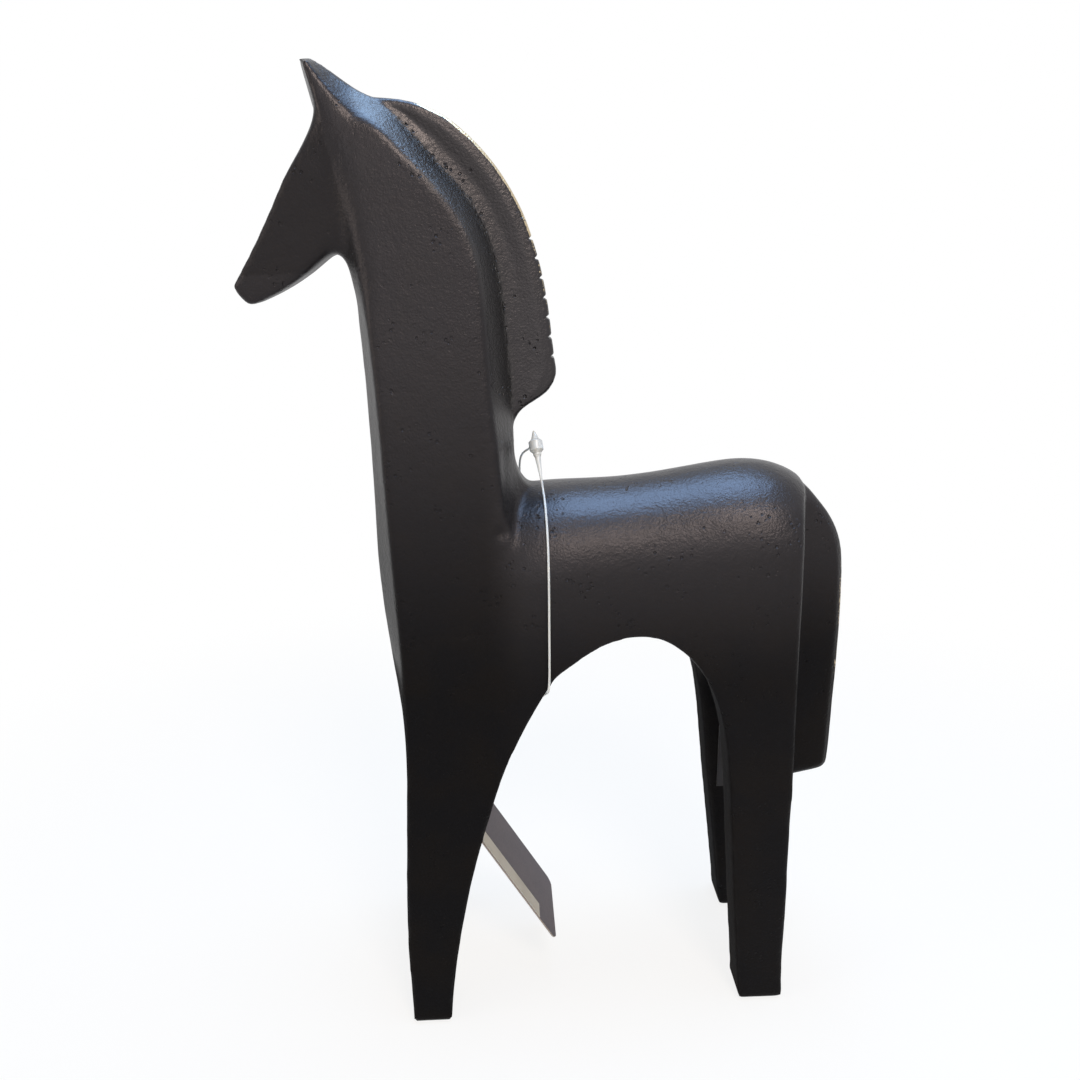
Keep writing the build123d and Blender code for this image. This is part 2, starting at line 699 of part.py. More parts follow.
# Socket: a ring that the plug snaps through, with a lug that holds the filament's other end
with BuildPart() as lock_socket:
    with BuildSketch(plug_plane.offset(socket_start)):
        Circle(socket_diameter / 2)
    extrude(amount=socket_length)
    chamfer(lock_socket.edges().filter_by(GeomType.CIRCLE), socket_rim)
    with BuildSketch(Plane(origin=filament_route[-1], z_dir=lug_axis)):
        Circle(socket_lug_diameter / 2)
    extrude(amount=socket_lug_length)
    with BuildSketch(plug_plane.offset(socket_start)):
        Circle(socket_bore / 2)
    extrude(amount=socket_length, mode=Mode.SUBTRACT)

pieces = {
    "left_body_half": left_body_half,
    "right_body_half": right_body_half,
    "head": head,
    "mane_crest": mane_crest,
    "tail": tail,
    "leg_label": leg_label,
    "hang_tag": hang_tag,
    "tag_sticker": tag_sticker,
    "tag_filament": tag_filament,
    "lock_plug": lock_plug,
    "lock_socket": lock_socket,
}
for name, place in dowel_places.items():
    pieces[name] = dowel(place)
for name, sole in soles.items():
    pieces[name] = foot_pad(*sole)

os.makedirs("parts", exist_ok=True)
for name, piece in pieces.items():
    piece.part.label = name
    export_step(piece.part, f"parts/{name}.step")

filament_length = filament_path.wires()[0].length
filament_section = math.pi * filament_diameter ** 2 / 4
print("filament length", round(filament_length, 1))
print("filament bend radii", [round(radius, 1) for radius in corner_radii(filament_route)])
print("filament volume share", round(tag_filament.part.volume / filament_length / filament_section, 4))
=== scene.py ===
"""A cast metal horse standing on four legs, with a retail tag hung round its barrel by a loop pin."""

import logging
import math
from dataclasses import dataclass
from enum import Enum
from typing import Sequence

import bmesh
import bpy
import numpy as np
from mathutils import Matrix, Vector


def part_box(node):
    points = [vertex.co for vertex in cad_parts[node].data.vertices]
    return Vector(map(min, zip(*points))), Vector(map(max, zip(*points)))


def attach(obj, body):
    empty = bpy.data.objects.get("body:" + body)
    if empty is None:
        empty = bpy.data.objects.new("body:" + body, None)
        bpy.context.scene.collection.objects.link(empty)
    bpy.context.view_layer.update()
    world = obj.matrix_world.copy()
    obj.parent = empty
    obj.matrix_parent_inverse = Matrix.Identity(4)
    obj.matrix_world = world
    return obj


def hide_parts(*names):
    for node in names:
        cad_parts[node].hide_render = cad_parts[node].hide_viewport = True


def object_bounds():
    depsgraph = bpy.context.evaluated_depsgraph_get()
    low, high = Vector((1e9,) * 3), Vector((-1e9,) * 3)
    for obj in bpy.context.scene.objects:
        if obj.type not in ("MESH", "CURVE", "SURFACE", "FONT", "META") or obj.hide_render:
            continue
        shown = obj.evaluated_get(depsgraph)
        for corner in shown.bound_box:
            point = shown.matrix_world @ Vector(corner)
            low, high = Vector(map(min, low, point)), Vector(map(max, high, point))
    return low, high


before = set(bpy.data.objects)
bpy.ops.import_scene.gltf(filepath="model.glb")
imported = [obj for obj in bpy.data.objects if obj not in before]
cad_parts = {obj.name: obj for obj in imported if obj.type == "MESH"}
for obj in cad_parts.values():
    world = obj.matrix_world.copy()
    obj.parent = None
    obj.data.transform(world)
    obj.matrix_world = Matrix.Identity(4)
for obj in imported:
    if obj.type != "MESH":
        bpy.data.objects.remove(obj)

MM = 0.001
CAD_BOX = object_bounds()
LENGTH = CAD_BOX[1].x - CAD_BOX[0].x
HEIGHT = CAD_BOX[1].z - CAD_BOX[0].z

Share = tuple[float, float]
Colour = tuple[float, float, float]
Array = np.ndarray

log = logging.getLogger("horse")


class Body(Enum):
    """The bodies that pieces ride on."""

    HORSE = "horse"
    TAG = "tag"


class Slot(Enum):
    """The record's material slots."""

    CASTING = "blackened_casting"
    STEEL = "steel_dowel"
    FELT = "felt"
    CARD = "tag_card"
    PALE = "pale_sticker"
    DARK = "dark_sticker"
    NYLON = "clear_nylon"


class Side(Enum):
    """The two halves of the body casting, by the sign of Y that each keeps."""

    LEFT = -1
    RIGHT = 1


# Outlines in the side view, as shares of the length from the middle and of the height
CREASE_SHARES: list[Share] = [
    (-0.267, 0.967), (-0.2325, 0.950), (-0.168, 0.904), (-0.1245, 0.872), (-0.100, 0.842),
    (-0.0865, 0.811), (-0.0775, 0.768), (-0.0715, 0.717), (-0.067, 0.633),
]
MANE_EDGE_SHARES: list[Share] = [
    (-0.267, 0.967), (-0.233, 0.9655), (-0.1965, 0.9605), (-0.158, 0.949), (-0.117, 0.9275),
    (-0.086, 0.9055), (-0.0625, 0.883), (-0.0445, 0.861), (-0.031, 0.838), (-0.0205, 0.8145),
    (-0.0064, 0.768), (0.0, 0.731), (0.0053, 0.707), (-0.0122, 0.6827), (-0.066, 0.652),
]
TAIL_EDGE_SHARES: list[Share] = [
    (0.398, 0.586), (0.432, 0.574), (0.466, 0.548), (0.488, 0.521), (0.4985, 0.473),
    (0.500, 0.4375), (0.499, 0.381), (0.4965, 0.314), (0.4925, 0.240),
]
HEAD_SEAT_SHARES: list[Share] = [(-0.312, 0.806), (-0.3035, 0.833), (-0.345, 0.959)]
HAUNCH_END_SHARE = 0.419
HAUNCH_FLOOR_SHARE = 0.2856
HIND_GAP_SHARE = 0.367
TAIL_FRONT_SHARE = 0.397
TAIL_FOOT_SHARE = 0.220
MANE_RIM_RUNS = 12
MANE_REACH = 6.5 * MM
TAIL_REACH = 7.8 * MM

# Clusters of casting pits on the flank: place, level and reach in millimetres
PIT_CLUSTERS = [(8.7, 151.2, 5.0), (30.0, 141.1, 4.0), (63.2, 162.0, 6.0), (50.0, 120.0, 9.0)]

# The cord's route from the plug round the barrel, through the tag and back to the socket
FILAMENT_ROUTE: list[tuple[float, float, float]] = [
    (-0.0046, -0.0087, 0.1786), (-0.0043, -0.0099, 0.1763), (-0.0040, -0.0136, 0.1739),
    (-0.0038, -0.0193, 0.1698), (-0.0037, -0.0254, 0.1624), (-0.0038, -0.0289, 0.1519),
    (-0.0040, -0.0302, 0.1400), (-0.0042, -0.0313, 0.1275), (-0.0044, -0.0311, 0.1164),
    (-0.0058, -0.0265, 0.1139), (-0.0110, -0.0180, 0.1046), (-0.0188, -0.0120, 0.0875),
    (-0.0252, -0.0078, 0.0738), (-0.0296, -0.0038, 0.0658), (-0.0320, 0.0000, 0.0634),
    (-0.0343, 0.0026, 0.0626), (-0.0367, 0.0048, 0.0646), (-0.0374, 0.0070, 0.0689),
    (-0.0350, 0.0090, 0.0738), (-0.0280, 0.0106, 0.0774), (-0.0200, 0.0126, 0.0820),
    (-0.0131, 0.0192, 0.0918), (-0.0084, 0.0254, 0.1026), (-0.0046, 0.0309, 0.1130),
    (-0.0050, 0.0314, 0.1260), (-0.0063, 0.0309, 0.1390), (-0.0081, 0.0292, 0.1515),
    (-0.0096, 0.0260, 0.1628), (-0.0105, 0.0210, 0.1714), (-0.0109, 0.0152, 0.1780),
    (-0.0104, 0.0096, 0.1828), (-0.0089, 0.0050, 0.1853), (-0.0073, 0.0005, 0.1869),
]


class Link:
    """A node's output that takes part in sums, each of which adds its own Math node."""

    def __init__(self, recipe: "Recipe", socket: bpy.types.NodeSocket) -> None:
        """Keep the socket and the recipe that it belongs to."""
        self.recipe = recipe
        self.socket = socket

    def __add__(self, other: "Link | float") -> "Link":
        """Sum."""
        return self.recipe.math("ADD", self, other)

    def __sub__(self, other: "Link | float") -> "Link":
        """Difference."""
        return self.recipe.math("SUBTRACT", self, other)

    def __mul__(self, other: "Link | float") -> "Link":
        """Product."""
        return self.recipe.math("MULTIPLY", self, other)

    def __pow__(self, other: "Link | float") -> "Link":
        """Power."""
        return self.recipe.math("POWER", self, other)

    def __radd__(self, other: float) -> "Link":
        """Sum with a number in front."""
        return self.recipe.math("ADD", other, self)

    def __rsub__(self, other: float) -> "Link":
        """Difference with a number in front."""
        return self.recipe.math("SUBTRACT", other, self)

    def __rmul__(self, other: float) -> "Link":
        """Product with a number in front."""
        return self.recipe.math("MULTIPLY", other, self)

    def __abs__(self) -> "Link":
        """Size without its sign."""
        return self.recipe.math("ABSOLUTE", self)

    def step(self, low: float, high: float) -> "Link":
        """A smooth rise from 0 to 1.

        Args:
            low: The value at which the rise starts.
            high: The value at which it ends. Below low, the result falls instead.

        Returns:
            The share of the rise.
        """
        if low <= high:
            ends = {"From Min": low, "From Max": high, "To Min": 0.0, "To Max": 1.0}
        else:
            ends = {"From Min": high, "From Max": low, "To Min": 1.0, "To Max": 0.0}
        node = self.recipe.node(
            "ShaderNodeMapRange", {"interpolation_type": "SMOOTHSTEP"}, {"Value": self, **ends}
        )
        return Link(self.recipe, node.outputs["Result"])


class Recipe:
    """One material, and the ways to add nodes to it."""

    def __init__(self, name: str, world: bpy.types.World | None = None) -> None:
        """Make the material with its shader, or take up a world's background.

        Args:
            name: The material's name.
            world: The world to work on, where the recipe is for one.
        """
        self.material = world or bpy.data.materials.new(name)
        self.material.use_nodes = True
        self.tree = self.material.node_tree
        self.shader = self.tree.nodes["Background" if world else "Principled BSDF"]

    def node(
        self, kind: str, settings: dict | None = None, values: dict | None = None
    ) -> bpy.types.Node:
        """Add a node.

        Args:
            kind: The node's type.
            settings: Its settings by name, which are set first.
            values: Numbers, colours or links by the name or number of the socket.

        Returns:
            The node.
        """
        made = self.tree.nodes.new(kind)
        for key, value in (settings or {}).items():
            setattr(made, key, value)
        for key, value in (values or {}).items():
            if isinstance(value, Link):
                self.tree.links.new(value.socket, made.inputs[key])
            else:
                made.inputs[key].default_value = value
        return made

    def math(self, operation: str, *terms: "Link | float") -> Link:
        """Add a Math node on links and numbers and return its result."""
        made = self.node("ShaderNodeMath", {"operation": operation}, dict(enumerate(terms)))
        return Link(self, made.outputs[0])

    def mix(self, factor: "Link | float", first: "Link | Colour", second: "Link | Colour") -> Link:
        """Blend two colours.

        Args:
            factor: The share of the second colour.
            first: The colour at 0.
            second: The colour at 1.

        Returns:
            The blended colour.
        """
        ends = {
            key: value if isinstance(value, Link) else (*value, 1.0)
            for key, value in (("A", first), ("B", second))
        }
        made = self.node("ShaderNodeMix", {"data_type": "RGBA"})
        sockets = {s.identifier: s for s in made.inputs}
        for key, value in (("Factor_Float", factor), ("A_Color", ends["A"]), ("B_Color", ends["B"])):
            if isinstance(value, Link):
                self.tree.links.new(value.socket, sockets[key])
            else:
                sockets[key].default_value = value
        return Link(self, next(s for s in made.outputs if s.identifier == "Result_Color"))

    def place(self, stretch: Sequence[float] = (1.0, 1.0, 1.0)) -> Link:
        """Read the place on the piece.

        Args:
            stretch: How much finer it runs along each axis.

        Returns:
            The place in metres.
        """
        made = self.node("ShaderNodeTexCoord")
        mapping = self.node("ShaderNodeMapping", None, {
            "Vector": Link(self, made.outputs["Object"]), "Scale": tuple(stretch),
        })
        return Link(self, mapping.outputs[0])

    def along(self, direction: Sequence[float]) -> Link:
        """Read the place along a direction.

        Args:
            direction: The direction, of length 1.

        Returns:
            The distance from the origin, in metres.
        """
        made = self.node("ShaderNodeVectorMath", {"operation": "DOT_PRODUCT"}, {
            0: self.place(), 1: tuple(direction),
        })
        return Link(self, made.outputs["Value"])

    def noise(
        self, size: float, detail: float = 2.0, stretch: Sequence[float] = (1.0, 1.0, 1.0)
    ) -> Link:
        """Cloudy noise.

        Args:
            size: The size of its clouds, in metres.
            detail: How many finer layers it has.
            stretch: How much finer it is along each axis.

        Returns:
            A value from 0 to 1 about a half.
        """
        made = self.node("ShaderNodeTexNoise", None, {
            "Vector": self.place(stretch), "Scale": 1 / size, "Detail": detail,
        })
        return Link(self, made.outputs[0])

    def cells(self, size: float) -> Link:
        """The distance from the middle of the nearest of many scattered cells, in cells."""
        made = self.node("ShaderNodeTexVoronoi", None, {"Vector": self.place(), "Scale": 1 / size})
        return Link(self, made.outputs["Distance"])

    def seen(self) -> Link:
        """Tell the rays that see a surface from those that light it.

        Returns:
            One for rays of the camera, of a gloss and through glass, and nothing for others.
        """
        made = self.node("ShaderNodeLightPath")
        kinds = ("Is Camera Ray", "Is Glossy Ray", "Is Transmission Ray")
        camera, glossy, through = (Link(self, made.outputs[kind]) for kind in kinds)
        return (camera + glossy + through).step(0.0, 1.0)

    def mark(self, name: str) -> Link:
        """A number that the mesh carries at each of its points."""
        made = self.node("ShaderNodeAttribute", {"attribute_name": name})
        return Link(self, made.outputs["Fac"])

    def bump(self, height: Link, depth: float) -> Link:
        """A normal from a height.

        Args:
            height: The height, where 1 stands for the depth.
            depth: The depth in metres.

        Returns:
            The normal.
        """
        made = self.node("ShaderNodeBump", None, {"Height": height, "Distance": depth, "Strength": 1.0})
        return Link(self, made.outputs["Normal"])

    def dress(self, **inputs: "Link | float | Colour") -> bpy.types.Material:
        """Set the shader's sockets.

        Args:
            **inputs: Values or links by socket name, with underscores for spaces.

        Returns:
            The finished material.
        """
        for key, value in inputs.items():
            socket = self.shader.inputs[key.replace("_", " ")]
            if isinstance(value, Link):
                self.tree.links.new(value.socket, socket)
            elif isinstance(value, tuple):
                socket.default_value = (*value, 1.0)
            else:
                socket.default_value = value
        return self.material


@dataclass(frozen=True)
class BlackCoat:
    """Black on a sand casting: matt at the feet, with a painted sheen that makes it lighter and more
    reflective higher up, bare on its thin edges.
    """

    cool: Colour = (0.0050, 0.0046, 0.0052)
    warm: Colour = (0.0066, 0.0054, 0.0050)
    # Painted sheen: the lighter, reflective tone given to the upper parts so that they read brighter
    sheen_colour: Colour = (0.046, 0.042, 0.044)
    # Lighter tone where the rough mark is high: the real rough crease line, and the painted highlight
    # on the ridge and the mane
    ground: Colour = (0.075, 0.070, 0.068)
    fleck: Colour = (0.10, 0.095, 0.09)
    metal: Colour = (0.56, 0.45, 0.29)
    satin: float = 0.37
    dull: float = 0.45
    polished: float = 0.30
    grain_size: float = 0.70 * MM
    grain_depth: float = 0.17 * MM
    lump_size: float = 2.4 * MM
    lump_depth: float = 0.16 * MM
    cloud_size: float = 16 * MM
    pit_size: float = 2.1 * MM
    pit_depth: float = 0.34 * MM
    speck_size: float = 1.3 * MM
    scratch_size: float = 1.1 * MM
    seam_half_width: float = 0.10 * MM

    def material(self) -> bpy.types.Material:
        """Make the coat's material.

        Returns:
            The material, which reads the marks that the casting carries.
        """
        recipe = Recipe("black_coat")
        rub = recipe.mark("rub")
        polish = recipe.mark("polish")
        rough = recipe.mark("rough")
        pitted = recipe.mark("pitted")
        painted_sheen = recipe.mark("painted_sheen")
        matt = recipe.mark("matt")
        grain = recipe.noise(self.grain_size, 3.0)
        lumps = recipe.noise(self.lump_size, 2.0)
        clouds = recipe.noise(self.cloud_size, 2.0)
        patches = recipe.noise(self.cloud_size * 0.6, 1.0) + pitted * 0.30
        ragged = recipe.cells(self.pit_size) + (grain - 0.5) * 0.28
        pits = ragged.step(0.30, 0.12) * patches.step(0.56, 0.66)
        specks = recipe.cells(self.speck_size).step(0.09, 0.04) * patches.step(0.50, 0.70)
        hairs = recipe.noise(self.scratch_size, 2.0, (1.0, 1.0, 0.12))
        scratches = hairs.step(0.60, 0.66) * polish
        seam = abs(recipe.along((0, 1, 0))).step(2 * self.seam_half_width, self.seam_half_width)
        fray = ((grain - 0.5) * 0.9 + (clouds - 0.5) * 0.6) * rub.step(0.05, 0.30)
        worn = (rub + fray).step(0.42, 0.62)
        base = recipe.mix(clouds.step(0.35, 0.70), self.cool, self.warm)
        # Painted sheen: where the sheen mark is high the black turns lighter and, through Metallic,
        # more reflective; the rough mark pulls it towards the ground tone
        sheen_tone = recipe.mix(rough, self.sheen_colour, self.ground)
        coated = recipe.mix(painted_sheen, base, sheen_tone)
        flecked = recipe.mix(specks * 0.4, coated, self.fleck)
        colour = recipe.mix(worn, flecked, self.metal)
        height = (grain - 0.5) * (1.0 + rough * 0.7 - polish * 0.5)
        relief = recipe.bump(height, self.grain_depth)
        swell = recipe.node("ShaderNodeBump", None, {
            "Height": lumps, "Distance": self.lump_depth, "Strength": 1.0, "Normal": relief,
        })
        holes = recipe.node("ShaderNodeBump", None, {
            "Height": 1 - pits - scratches * 0.12 - seam * 0.3,
            "Distance": self.pit_depth, "Strength": 1.0,
            "Normal": Link(recipe, swell.outputs["Normal"]),
        })
        gloss = self.satin + (clouds - 0.4) * (self.dull - self.satin) + rough * 0.10
        smooth = gloss + polish * (self.polished - self.satin) + matt * 0.50
        return recipe.dress(
            Base_Color=colour,
            Metallic=(worn + painted_sheen).step(0.0, 1.0),
            Roughness=smooth,
            Normal=Link(recipe, holes.outputs["Normal"]),
            Specular_IOR_Level=0.05,
        )


@dataclass(frozen=True)
class ClearNylon:
    """Clear moulded nylon, a little cloudy."""

    colour: Colour = (0.93, 0.93, 0.90)
    cloudy: Colour = (0.84, 0.85, 0.83)
    cloud_size: float = 1.5 * MM
    ripple_depth: float = 0.02 * MM

    def material(self) -> bpy.types.Material:
        """Make the nylon's material.

        Returns:
            The material.
        """
        recipe = Recipe("clear_nylon")
        clouds = recipe.noise(self.cloud_size, 2.0)
        return recipe.dress(
            Base_Color=recipe.mix(clouds.step(0.3, 0.8), self.colour, self.cloudy),
            Roughness=0.14 + clouds * 0.16,
            Normal=recipe.bump(clouds, self.ripple_depth),
            Transmission_Weight=0.35,
            IOR=1.45,
        )


@dataclass(frozen=True)
class Card:
    """Printed card: a coloured face on a paler core, with fine fibres and scuffed edges."""

    name: str
    face: Colour
    mottle: Colour
    core: Colour
    origin: Sequence[float]
    normal: Sequence[float]
    half_thickness: float
    gloss: float = 0.42
    fibre_size: float = 0.5 * MM
    fibre_depth: float = 0.018 * MM
    skin: float = 0.02 * MM

    def material(self) -> bpy.types.Material:
        """Make the card's material, whose core shows on its cut edges.

        Returns:
            The material.
        """
        recipe = Recipe(self.name)
        fibres = recipe.noise(self.fibre_size, 4.0, (1.0, 0.35, 1.0))
        clouds = recipe.noise(self.fibre_size * 18, 2.0)
        start = Vector(self.origin).dot(Vector(self.normal))
        depth = abs(recipe.along(self.normal) - start)
        on_face = depth.step(self.half_thickness - self.skin * 2, self.half_thickness - self.skin)
        face = recipe.mix(clouds.step(0.35, 0.70) * 0.6 + fibres * 0.3, self.face, self.mottle)
        return recipe.dress(
            Base_Color=recipe.mix(on_face, self.core, face),
            Roughness=self.gloss + fibres * 0.16,
            Normal=recipe.bump(fibres, self.fibre_depth),
        )


@dataclass(frozen=True)
class Felt:
    """Dark pressed felt."""

    colour: Colour = (0.030, 0.028, 0.028)
    tip: Colour = (0.075, 0.070, 0.068)
    fibre_size: float = 0.35 * MM
    fibre_depth: float = 0.12 * MM

    def material(self) -> bpy.types.Material:
        """Make the felt's material.

        Returns:
            The material.
        """
        recipe = Recipe("pressed_felt")
        fibres = recipe.noise(self.fibre_size, 4.0)
        return recipe.dress(
            Base_Color=recipe.mix(fibres.step(0.45, 0.75), self.colour, self.tip),
            Roughness=0.86 + fibres * 0.1,
            Normal=recipe.bump(fibres, self.fibre_depth),
            Sheen_Weight=0.3,
        )


@dataclass(frozen=True)
class GroundSteel:
    """Bright ground steel, with fine rings round its length."""

    colour: Colour = (0.56, 0.55, 0.53)
    shade: Colour = (0.44, 0.43, 0.42)
    ring_size: float = 0.12 * MM
    ring_depth: float = 0.004 * MM

    def material(self) -> bpy.types.Material:
        """Make the steel's material.

        Returns:
            The material.
        """
        recipe = Recipe("ground_steel")
        rings = recipe.noise(self.ring_size, 2.0, (0.1, 1.0, 0.1))
        return recipe.dress(
            Base_Color=recipe.mix(rings, self.colour, self.shade),
            Metallic=1.0,
            Roughness=0.26 + rings * 0.14,
            Normal=recipe.bump(rings, self.ring_depth),
        )


def dress(piece: bpy.types.Object, finish: bpy.types.Material) -> None:
    """Give a piece one material in all its slots.

    Args:
        piece: A new piece or a CAD node.
        finish: The material.
    """
    if piece.material_slots:
        for place in piece.material_slots:
            place.material = finish
    else:
        piece.data.materials.append(finish)


def add_piece(
    name: str, data: bpy.types.ID, finish: bpy.types.Material, body: Body, slot: Slot, *nodes: str
) -> bpy.types.Object:
    """Make an object of a mesh or curve that stands for CAD nodes.

    Args:
        name: The piece's name.
        data: Its mesh or curve, in place.
        finish: Its material.
        body: The body that it rides on.
        slot: The record's slot of its finish; not used.
        *nodes: The CAD nodes that it replaces.

    Returns:
        The piece.
    """
    piece = bpy.data.objects.new(name, data)
    bpy.context.scene.collection.objects.link(piece)
    data.materials.clear()
    data.materials.append(finish)
    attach(piece, body.value)
    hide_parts(*nodes)
    log.info("%s stands for %s", name, ", ".join(nodes))
    return piece


def points_of(mesh: bpy.types.Mesh) -> Array:
    """Read the places of a mesh's points.

    Args:
        mesh: The mesh.

    Returns:
        The places, one row each.
    """
    flat = np.zeros(len(mesh.vertices) * 3, np.float32)
    mesh.vertices.foreach_get("co", flat)
    return flat.reshape(-1, 3).astype(float)


def normals_of(mesh: bpy.types.Mesh) -> Array:
    """Read the normals of a mesh's points.

    Args:
        mesh: The mesh.

    Returns:
        The normals, one row each.
    """
    flat = np.zeros(len(mesh.vertices) * 3, np.float32)
    mesh.vertex_normals.foreach_get("vector", flat)
    return flat.reshape(-1, 3).astype(float)


def set_points(mesh: bpy.types.Mesh, points: Array) -> None:
    """Move a mesh's points to new places."""
    mesh.vertices.foreach_set("co", points.astype(np.float32).ravel())
    mesh.update()


def set_mark(mesh: bpy.types.Mesh, name: str, values: Array) -> None:
    """Write a number at each point of a mesh, for a material to read."""
    layer = mesh.attributes.new(name, "FLOAT", "POINT")
    layer.data.foreach_set("value", np.clip(values, 0, 1).astype(np.float32))


def rise(values: Array, low: float, high: float) -> Array:
    """A smooth rise from 0 at low to 1 at high, or a fall where high is the lower one."""
    share = np.clip((values - low) / (high - low), 0, 1)
    return share * share * (3 - 2 * share)


def ease(least: float, values: Array, low: float, high: float) -> Array:
    """A smooth rise from a least share at low to 1 at high."""
    return least + (1 - least) * rise(values, low, high)


def span(values: Array, start: float, end: float, fade: float) -> Array:
    """One between start and end, with a smooth fade to 0 inside either of them."""
    return rise(values, start, start + fade) * rise(values, end, end - fade)


def bell(values: Array, width: float) -> Array:
    """A hill of height 1 round 0, which has fallen to about a third at its width."""
    return np.exp(-((values / width) ** 2))


def ripple(points: Array, size: float, seed: int, waves: int = 9) -> Array:
    """Soft uneven waves through space.

    Args:
        points: The places, one row each.
        size: About the distance from crest to crest, in metres.
        seed: A number that settles the waves.
        waves: How many waves are added up.

    Returns:
        The height at each place, mostly from -1 to 1.
    """
    draw = np.random.default_rng(seed)
    total = np.zeros(len(points))
    for _ in range(waves):
        direction = draw.normal(size=3)
        direction /= np.linalg.norm(direction)
        turn = 2 * math.pi / (size * draw.uniform(0.7, 1.5))
        total += np.sin(points @ direction * turn + draw.uniform(0, 2 * math.pi))
    return total / math.sqrt(waves)


def side_curve(shares: list[Share]) -> Array:
    """The points of a side view outline in metres, as rows of X and Z."""
    return np.array([(place * LENGTH, level * HEIGHT) for place, level in shares])


def curve_distance(points: Array, curve: Array) -> tuple[Array, Array, Array]:
    """Measure how far each point lies from an outline in the side view.

    Args:
        points: The places, one row each.
        curve: The outline's points, as rows of X and Z.

    Returns:
        The distance of each point, the share of the outline's length where it is nearest, and
        whether it lies to the left of the outline, seen from the horse's left.
    """
    flat = points[:, [0, 2]]
    runs = np.diff(curve, axis=0)
    lengths = np.linalg.norm(runs, axis=1)
    starts = np.concatenate([[0], np.cumsum(lengths)[:-1]])
    nearest = np.full(len(flat), np.inf)
    share = np.zeros(len(flat))
    left = np.zeros(len(flat), bool)
    for begin, run, run_length, start in zip(curve, runs, lengths, starts):
        along = np.clip((flat - begin) @ run / run_length ** 2, 0, 1)
        gap = np.linalg.norm(flat - begin - along[:, None] * run, axis=1)
        closer = gap < nearest
        side = run[0] * (flat[:, 1] - begin[1]) - run[1] * (flat[:, 0] - begin[0]) > 0
        nearest = np.where(closer, gap, nearest)
        left = np.where(closer, side, left)
        share = np.where(closer, (start + along * run_length) / lengths.sum(), share)
    return nearest, share, left


def outer_shells(mesh: bmesh.types.BMesh, least_height: float) -> None:
    """Delete the low shells of a mesh, such as hollows and holes.

    Args:
        mesh: The mesh.
        least_height: Shells that are lower than this are deleted.
    """
    unseen = set(mesh.verts)
    while unseen:
        shell = {unseen.pop()}
        edge_of_shell = list(shell)
        while edge_of_shell:
            near = {e.other_vert(v) for v in edge_of_shell for e in v.link_edges} & unseen
            unseen -= near
            shell |= near
            edge_of_shell = list(near)
        levels = [v.co.z for v in shell]
        if max(levels) - min(levels) < least_height:
            bmesh.ops.delete(mesh, geom=list(shell), context="VERTS")


def cast_skin(nodes: Sequence[str], voxel: float, rounds: int, least_height: float) -> bpy.types.Mesh:
    """Turn CAD nodes into one dense skin with softly rounded edges.

    Args:
        nodes: The nodes that the skin covers.
        voxel: The size of the skin's faces.
        rounds: How often the skin is smoothed.
        least_height: Shells that are lower than this, such as hollows, are left out.

    Returns:
        The skin's mesh.
    """
    joined = bmesh.new()
    for node in nodes:
        joined.from_mesh(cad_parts[node].data)
    bmesh.ops.remove_doubles(joined, verts=joined.verts, dist=0.001 * MM)
    shell = bpy.data.meshes.new("shell")
    joined.to_mesh(shell)
    joined.free()
    holder = bpy.data.objects.new("holder", shell)
    bpy.context.scene.collection.objects.link(holder)
    remesh = holder.modifiers.new("remesh", "REMESH")
    remesh.mode = "VOXEL"
    remesh.voxel_size = voxel
    remesh.use_smooth_shade = True
    smooth = holder.modifiers.new("smooth", "SMOOTH")
    smooth.factor = 0.5
    smooth.iterations = rounds
    seen = bpy.context.evaluated_depsgraph_get()
    skin = bpy.data.meshes.new_from_object(holder.evaluated_get(seen))
    bpy.data.objects.remove(holder)
    bpy.data.meshes.remove(shell)
    outer = bmesh.new()
    outer.from_mesh(skin)
    outer_shells(outer, least_height)
    outer.to_mesh(skin)
    outer.free()
    return skin


def finished(form: bmesh.types.BMesh, name: str, angle: float = 50.0) -> bpy.types.Mesh:
    """Turn a closed form into a smoothly shaded mesh and free the form.

    Args:
        form: The closed form.
        name: The mesh's name.
        angle: Edges sharper than this, in degrees, stay sharp.

    Returns:
        The mesh.
    """
    mesh = bpy.data.meshes.new(name)
    form.to_mesh(mesh)
    form.free()
    mesh.shade_smooth()
    mesh.set_sharp_from_angle(angle=math.radians(angle))
    return mesh


def edge_ends(mesh: bpy.types.Mesh) -> tuple[Array, Array, Array]:
    """List how the points of a mesh are joined.

    Args:
        mesh: The mesh.

    Returns:
        The two ends of each edge, and how many edges meet at each point.
    """
    ends = np.zeros(len(mesh.edges) * 2, np.int32)
    mesh.edges.foreach_get("vertices", ends)
    first, second = ends.reshape(-1, 2).T
    return first, second, np.maximum(np.bincount(ends, minlength=len(mesh.vertices)), 1)


def neighbour_mean(points: Array, first: Array, second: Array, count: Array) -> Array:
    """Find the middle of the neighbours of each point.

    Args:
        points: The places, one row each.
        first: One end of each edge.
        second: Its other end.
        count: How many edges meet at each point.

    Returns:
        The middles, one row each.
    """
    total = np.zeros_like(points)
    for axis in range(3):
        total[:, axis] = (
            np.bincount(first, points[second, axis], len(points))
            + np.bincount(second, points[first, axis], len(points))
        )
    return total / count[:, None]


def soften(mesh: bpy.types.Mesh, weights: Array, rounds: int) -> None:
    """Smooth a skin by an amount that differs from point to point.

    Args:
        mesh: The skin.
        weights: The share of the full smoothing at each point.
        rounds: How often it is smoothed.
    """
    points = points_of(mesh)
    first, second, count = edge_ends(mesh)
    for _ in range(rounds):
        mean = neighbour_mean(points, first, second, count)
        points += (mean - points) * (0.5 * weights)[:, None]
    set_points(mesh, points)


